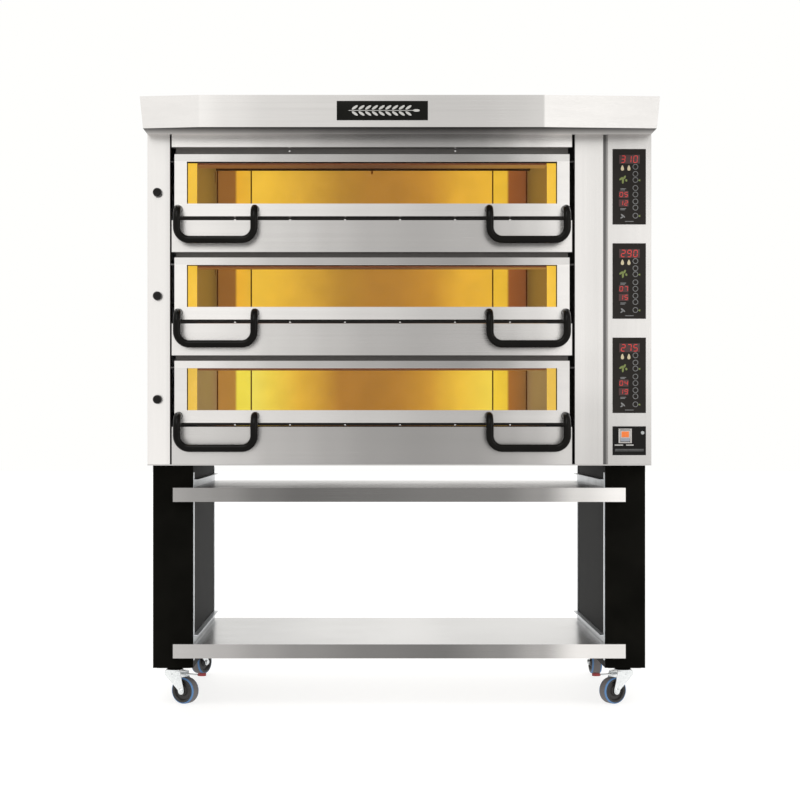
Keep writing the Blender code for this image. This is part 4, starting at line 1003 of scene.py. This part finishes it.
def leaf(x, y, z, length, width, turn, finish, taper=0.0):
    """A grain: two arcs that meet in points; a taper makes it a flame."""
    steps = [math.pi * index / 10 for index in range(11)]
    arc = [(length / 2 * math.cos(a), width / 2 * math.sin(a) * (1 - taper * math.cos(a))) for a in steps]
    arc += [(a, -b) for a, b in reversed(arc[1:-1])]
    cos, sin = math.cos(turn), math.sin(turn)
    return cut_sheet("leaf", [(x + a * cos - b * sin, z + a * sin + b * cos) for a, b in arc], y, finish)


stem = ((centre.x - 0.098, y_print[0], centre.z - 0.0008), (centre.x + 0.090, y_print[1], centre.z + 0.0008))
ornament = [
    strip("plate", (plate_low.x, plate_low.y + HAIR, plate_low.z), plate_high, plate_black, 0.0006),
    strip("stem", *stem, silver, 0.0001),
]
for index in range(9):
    x = centre.x - 0.080 + index * 0.0195
    for side in (-1, 1):
        ornament.append(leaf(x, y_print, centre.z + side * 0.0088, 0.0205, 0.0072, side * GRAIN_TURN, silver))
ornament.append(leaf(centre.x + 0.099, y_print, centre.z, 0.020, 0.0075, 0.0, silver))
ornament = joined("ornamented_plate", ornament)
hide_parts("nameplate")
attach(ornament, ROOT)
print("plate faces", len(ornament.data.polygons))

# %% [markdown]
# ## Control panels
# Each deck has one dark foil panel: a three-digit display on top, two pilot signs, a column of eight round keys,
# two small timers and a few signs. Everything on it is printed or shines through, so each mark is raised by a
# fifth of a millimetre at most. The only signs used are digits, arrows and plain shapes. A digit is drawn as a
# real display draws it, from seven bars.

# %% Digits and marks
SEGMENTS = {
    "0": "abcdef", "1": "bc", "2": "abged", "3": "abgcd", "4": "fgbc", "5": "afgcd", "7": "abc", "9": "abcdfg",
}
BARS = {
    "a": (0, 1, True), "b": (1, 0.5, False), "c": (1, -0.5, False), "d": (0, -1, True), "e": (-1, -0.5, False),
    "f": (-1, 0.5, False), "g": (0, 0, True),
}
SLANT = 0.09
RING_EDGE = [(0.80, 0.0), (0.80, 0.05), (0.84, 0.07), (0.96, 0.07), (1.0, 0.05), (1.0, 0.0), (0.80, 0.0)]


def glowing(name, dark, light, strength):
    made = Finish(name, roughness=0.35)
    colour = made.mix(made.noise(900.0), dark, light)
    return made.set(Base_Color=colour, Emission_Color=colour, Emission_Strength=strength)


def digit(character, x, z, width, height, y):
    """The lit bars of one digit; a bar is (side, level, whether it lies flat)."""
    bars = []
    for side, level, flat in [place for key, place in BARS.items() if key in SEGMENTS[character]]:
        bar_x = x + side * width / 2 + SLANT * level * height / 2
        bar_z = z + level * height / 2
        half_x, half_z = (width * 0.40, width * 0.085) if flat else (width * 0.085, height * 0.205)
        low, high = (bar_x - half_x, y[0], bar_z - half_z), (bar_x + half_x, y[1], bar_z + half_z)
        bars.append(strip("bar", low, high, red_led, 0.0, None if flat else SLANT))
    return bars


def number(text, x, z, width, height, gap, y):
    bars = []
    for index, character in enumerate(text):
        offset = (index - (len(text) - 1) / 2) * (width + gap)
        bars += digit(character, x + offset, z, width, height, y)
    return bars


def arrow(x, y, z, size, finish):
    """A triangle that points left."""
    outline = [(-1.0, 0.0), (0.6, -0.8), (0.6, 0.8)]
    return cut_sheet("arrow", [(x + a * size, z + b * size) for a, b in outline], y, finish)


red_led = glowing("red_digits", (0.36, 0.012, 0.010), (0.56, 0.028, 0.022), 0.60)
unlit_led = grainy("unlit_digits", (0.030, 0.008, 0.008), (0.050, 0.012, 0.012), 600, 0.4)
green_led = glowing("green_signs", (0.080, 0.105, 0.022), (0.125, 0.150, 0.040), 0.35)
pale_sign = glowing("pale_signs", (0.30, 0.25, 0.15), (0.44, 0.38, 0.25), 0.30)
RING = turned("ring_model", RING_EDGE, (0, 0, 0), (0, 0, 1), None, 24)
bpy.context.scene.collection.objects.unlink(RING)
print("digit bars", sum(len(bars) for bars in SEGMENTS.values()))

# %% [markdown]
# The marks are laid out once, in metres across from the panel's middle and down from its top, and every deck
# reuses the layout with its own numbers.

# %% Panels
READINGS = {"top_deck": ("310", "05", "12"), "middle_deck": ("290", "07", "15"), "bottom_deck": ("275", "04", "19")}
KEY_DROPS = (0.0530, 0.0744, 0.0923, 0.1161, 0.1355, 0.1563, 0.1748, 0.1986)
KEY_X, KEY_RADIUS = 0.0182, 0.0082
TIMER_DROPS = (0.1355, 0.1610)
# Windows and labels are (left, right, drop of the middle, half height).
WINDOWS = [(-0.030, 0.031, 0.0305, 0.013), *[(-0.031, -0.0025, drop, 0.0105) for drop in TIMER_DROPS]]
LABELS = [(-0.0265, -0.0095 - line, drop + line, 0.0009) for drop in (0.1185, 0.1775) for line in (0.0, 0.0036)]
LABELS.append((-0.013, 0.013, 0.21565, 0.00085))
# Signs are (across, drop, length, width, degrees, finish, taper).
SIGNS = [
    (-0.0205, 0.0565, 0.0165, 0.0085, 90, pale_sign, 0.5), (-0.0012, 0.0565, 0.0165, 0.0085, 90, pale_sign, 0.5),
    (-0.024, 0.0885, 0.014, 0.0062, 35, green_led, 0.0), (-0.014, 0.0845, 0.012, 0.0062, 60, green_led, 0.0),
    (-0.019, 0.0955, 0.016, 0.0062, 85, green_led, 0.0), (-0.009, 0.0935, 0.008, 0.0062, 110, green_led, 0.0),
    (-0.019, 0.1990, 0.016, 0.0050, -40, grey_print, 0.0), (-0.022, 0.2035, 0.011, 0.0040, 35, grey_print, 0.0),
]


def printed(name, x, top, y, row, finish):
    left, right, drop, half = row
    return strip(name, (x + left, y[0], top - drop - half), (x + right, y[1], top - drop + half), finish, 0.0001)


for deck in DECKS:
    low, high = corners(f"{deck}_control_panel")
    x, top = (low.x + high.x) / 2, high.z
    y = (low.y - 0.00018, low.y + 0.0001)
    behind = (y[0] + 0.0001, y[1])
    shown, *timers = READINGS[deck]
    marks = number(shown, x + 0.0002, top - 0.0305, 0.0105, 0.0195, 0.0078, y)
    for timer, drop in zip(timers, TIMER_DROPS):
        marks += number(timer, x - 0.0165, top - drop, 0.0085, 0.0130, 0.0062, y)
    marks += [printed("window", x, top, behind, row, unlit_led) for row in WINDOWS]
    marks += [printed("label", x, top, y, row, grey_print) for row in LABELS]
    for across, drop, length, width, degrees, finish, taper in SIGNS:
        marks.append(leaf(x + across, y, top - drop, length, width, math.radians(degrees), finish, taper))
    marks += [arrow(x + 0.0300, y, top - KEY_DROPS[key] - 0.001, 0.0042, green_led) for key in (2, 7)]
    key_spots = [(x + KEY_X, low.y + 0.00012, top - drop) for drop in KEY_DROPS]
    keys = copies(f"{deck}_key_rings", key_spots, RING, KEY_RADIUS, "front", grey_print, spin=0.0)
    panel = joined(f"{deck}_panel_print", [*marks, keys])
    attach(panel, ROOT)
print("panel marks", len(marks))

# %% [markdown]
# ## Main switch
# Below the panels sits the main switch: a pale frame, a rocker whose upper half is a lit orange lens and whose
# lower half is slate grey, and a small round cap beside it. The lens has ribs moulded into its face.

# %% Switch
TILT = math.radians(7)
HALF_X, HALF_Y, HALF_Z = 0.0145, 0.006, 0.017
LENS_X, FOOT_X = HALF_X - 0.0035, HALF_X - 0.0012
orange_lens = glowing("orange_lens", (0.50, 0.105, 0.014), (0.68, 0.170, 0.030), 0.28)
pivot = middle("main_switch_rocker")
pivot.y = FRONT - 0.001
ROCKER = [
    ((-HALF_X, 0.0008 - HALF_Y, -HALF_Z), (HALF_X, HALF_Y, HALF_Z), pale_plastic, 0.0012),
    ((-LENS_X, -HALF_Y, -0.0035), (LENS_X, 0.004 - HALF_Y, HALF_Z - 0.003), orange_lens, 0.0006),
    ((-FOOT_X, 0.0002 - HALF_Y, 0.001 - HALF_Z), (FOOT_X, 0.004 - HALF_Y, -0.006), slate_plastic, 0.0006),
]
for rib in (-0.009, -0.0054, -0.0018, 0.0018, 0.0054):
    low, high = (rib, -HALF_Y - 0.0004, -0.002), (rib + 0.0018, 0.001 - HALF_Y, HALF_Z - 0.0045)
    ROCKER.append((low, high, orange_lens, 0.0002))
rocker = joined("main_rocker", [strip("rocker", *row) for row in ROCKER])
rocker.data.transform(Matrix.Translation(pivot) @ Matrix.Rotation(TILT, 4, "X"))
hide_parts("main_switch_rocker")
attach(rocker, "main_switch")

RIM_X, RIM_Z = (0.0150, 0.0195), (0.0186, 0.0215)
CAP = [(0.0, 0.0), (0.0052, 0.0), (0.0052, 0.0008), (0.0046, 0.0014), (0.0026, 0.0016), (0.0022, 0.0011), (0.0, 0.0010)]
CAP_PLACE = (0.7232, FRONT - 0.0052, 0.8198)
plate_left, plate_right = corners("switch_plate")[0].x, corners("switch_plate")[1].x
plate_y = FRONT - HAIR - 0.0025
# Borders are (left, right, bottom, top) from the pivot, and prints are (left, right, bottom, height, finish).
BORDERS = [
    (-RIM_X[1], -RIM_X[0], -RIM_Z[1], RIM_Z[1]), (RIM_X[0], RIM_X[1], -RIM_Z[1], RIM_Z[1]),
    (-RIM_X[0], RIM_X[0], RIM_Z[0], RIM_Z[1]), (-RIM_X[0], RIM_X[0], -RIM_Z[1], -RIM_Z[0]),
]
PRINTS = [
    (plate_left + 0.006, plate_left + 0.031, 0.7815, 0.0035, silver),
    (plate_left + 0.040, plate_left + 0.062, 0.7815, 0.0035, silver),
    (plate_left + 0.007, plate_right - 0.007, 0.7655, 0.0012, grey_print),
    (plate_left + 0.007, plate_right - 0.007, 0.7700, 0.0012, grey_print),
]
rim = []
for left, right, bottom, top in BORDERS:
    low, high = (pivot.x + left, FRONT - 0.0062, pivot.z + bottom), (pivot.x + right, plate_y + 0.0005, pivot.z + top)
    rim.append(strip("rim", low, high, pale_plastic, 0.0005))
rim.append(turned("cap", CAP, CAP_PLACE, (0, -1, 0), grey_nylon, 24))
for left, right, bottom, height, finish in PRINTS:
    low, high = (left, plate_y - 0.00018, bottom), (right, plate_y + 0.0001, bottom + height)
    rim.append(strip("print", low, high, finish, 0.0001))
rim = joined("main_switch_surround", rim)
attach(rim, ROOT)
print("switch pivot", [round(value, 4) for value in pivot])

# %% [markdown]
# ## Castors
# A castor wheel is a hard black centre with a coloured tread moulded round it. On a lathe that is three turned
# parts: the centre with its dished faces, the tread's coloured shoulders, and the worn band that meets the floor.

# %% Castor wheels
CASTOR_TRAILS = {"front_left": -30, "front_right": 210, "rear_left": 60, "rear_right": 95}
HALF_CENTRE = [
    (0.0066, 0.0178), (0.0135, 0.0178), (0.0150, 0.0165), (0.0165, 0.0120), (0.0265, 0.0108), (0.0290, 0.0155),
    (0.0310, 0.0172), (0.0345, 0.0176), (0.0358, 0.0168),
]
CENTRE = [*HALF_CENTRE, *[(radius, -depth) for radius, depth in reversed(HALF_CENTRE)], HALF_CENTRE[0]]
SHOULDER = [(0.0359, 0.0118), (0.0359, 0.0169), (0.0370, 0.0170), (0.0386, 0.0155), (0.0397, 0.0122), (0.0359, 0.0118)]
BAND = [
    (0.0359, 0.0117), (0.0397, 0.0120), (0.0399, 0.0095), (0.0400, 0.0), (0.0399, -0.0095), (0.0397, -0.0120),
    (0.0359, -0.0117), (0.0359, 0.0117),
]
NUT = [(0.0, 0.0), (0.0095, 0.0), (0.0095, 0.0012), (0.0078, 0.0016), (0.0078, 0.0042), (0.0068, 0.0050), (0.0, 0.0050)]
NUT_OUT = 0.0231
for castor, degrees in CASTOR_TRAILS.items():
    node = f"{castor}_castor_wheel"
    hub = middle(node)
    axis = Vector((-math.sin(math.radians(degrees)), math.cos(math.radians(degrees)), 0))
    centre = turned("centre", CENTRE, hub, axis, rim_black, 40)
    shoulders = [turned("shoulder", SHOULDER, hub, way, tread_blue, 48) for way in (axis, -axis)]
    band = turned("band", BAND, hub, axis, tread_grey, 48)
    wheel = joined(f"{castor}_wheel_tread", [centre, *shoulders, band])
    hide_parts(node)
    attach(wheel, f"{castor}_wheel")
    hexagon = turned("nut", NUT, hub + axis * NUT_OUT, axis, zinc, 6)
    bolt_head = turned("nut", NUT, hub - axis * NUT_OUT, -axis, zinc, 24)
    nuts = joined(f"{castor}_axle_nuts", [hexagon, bolt_head])
    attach(nuts, f"{castor}_fork")
print("wheels", len(CASTOR_TRAILS))

# %% [markdown]
# The brake lever is zinc-plated with a red pad at its tip. Lever and pad are one solid, so one finish colours
# both: it measures how far a point lies from the castor's swivel.

# %% Brake levers
SWIVEL_OUT, SWIVEL_BACK = 0.680, 0.062
PAD_START = 0.0880
for side, sign in (("left", -1), ("right", 1)):
    lever = Finish(f"front_{side}_lever", roughness=0.4)
    trail = math.radians(CASTOR_TRAILS[f"front_{side}"])
    swivel_y = corners(f"{side}_stand_gable")[0].y + SWIVEL_BACK
    grain = lever.noise(500.0)
    ahead = lever.math("MULTIPLY", lever.math("SUBTRACT", lever.along("X"), sign * SWIVEL_OUT), math.cos(trail))
    aside = lever.math("MULTIPLY", lever.math("SUBTRACT", lever.along("Y"), swivel_y), math.sin(trail))
    at_pad = lever.math("GREATER_THAN", lever.math("ADD", ahead, aside), PAD_START)
    red = lever.mix(grain, (0.16, 0.008, 0.010), (0.26, 0.018, 0.020))
    plated = lever.mix(grain, ZINC_DARK, ZINC_LIGHT)
    lever.set(Base_Color=lever.mix(at_pad, plated, red), Metallic=lever.math("SUBTRACT", 1.0, at_pad))
    dress(lever.bump(grain, 0.1), f"front_{side}_brake_pedal")
print("finishes in all", len(bpy.data.materials))

# %% [markdown]
# ## The back
# The rear sheet is cooled through a field of pressed louvres, and holds the cable's gland. One louvre is a small
# hood pressed from the sheet; the same tree that placed the screws places the whole field of them.

# %% Louvres
LOUVRE_REACH = -0.10
LOUVRE_RISE = 0.09
LOUVRE_WIDTH = 0.11
STATIONS = [(-0.5, 0.0), (-0.47, 0.7), (-0.42, 1.0), (0.42, 1.0), (0.47, 0.7), (0.5, 0.0)]


def louvre_model():
    """A pressed hood of unit width: closed ends, a rounded back and an open lower lip."""
    shape = bmesh.new()
    angles = [math.pi / 2 * step / 8 for step in range(9)]
    rows = [(LOUVRE_REACH * (1 - math.sin(angle)), LOUVRE_RISE * (1 - math.cos(angle))) for angle in angles]
    grid = [[shape.verts.new((x, y, 0.004 + height * rise)) for y, height in rows] for x, rise in STATIONS]
    for first, second in zip(grid, grid[1:]):
        for index in range(len(rows) - 1):
            shape.faces.new((first[index], second[index], second[index + 1], first[index + 1]))
    bmesh.ops.solidify(shape, geom=shape.faces[:], thickness=-0.008)
    return bpy.data.objects.new("louvre_model", mesh_from(shape, "louvre_model"))


spots = [(0.42 - column * 0.135, rear_high.y, 1.30 + row * 0.026) for column in range(3) for row in range(9)]
rear_louvres = copies("rear_louvres", spots, louvre_model(), LOUVRE_WIDTH, "back", galvanised, spin=0.0)
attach(rear_louvres, ROOT)
print("louvres", len(spots), "faces", len(rear_louvres.data.polygons))
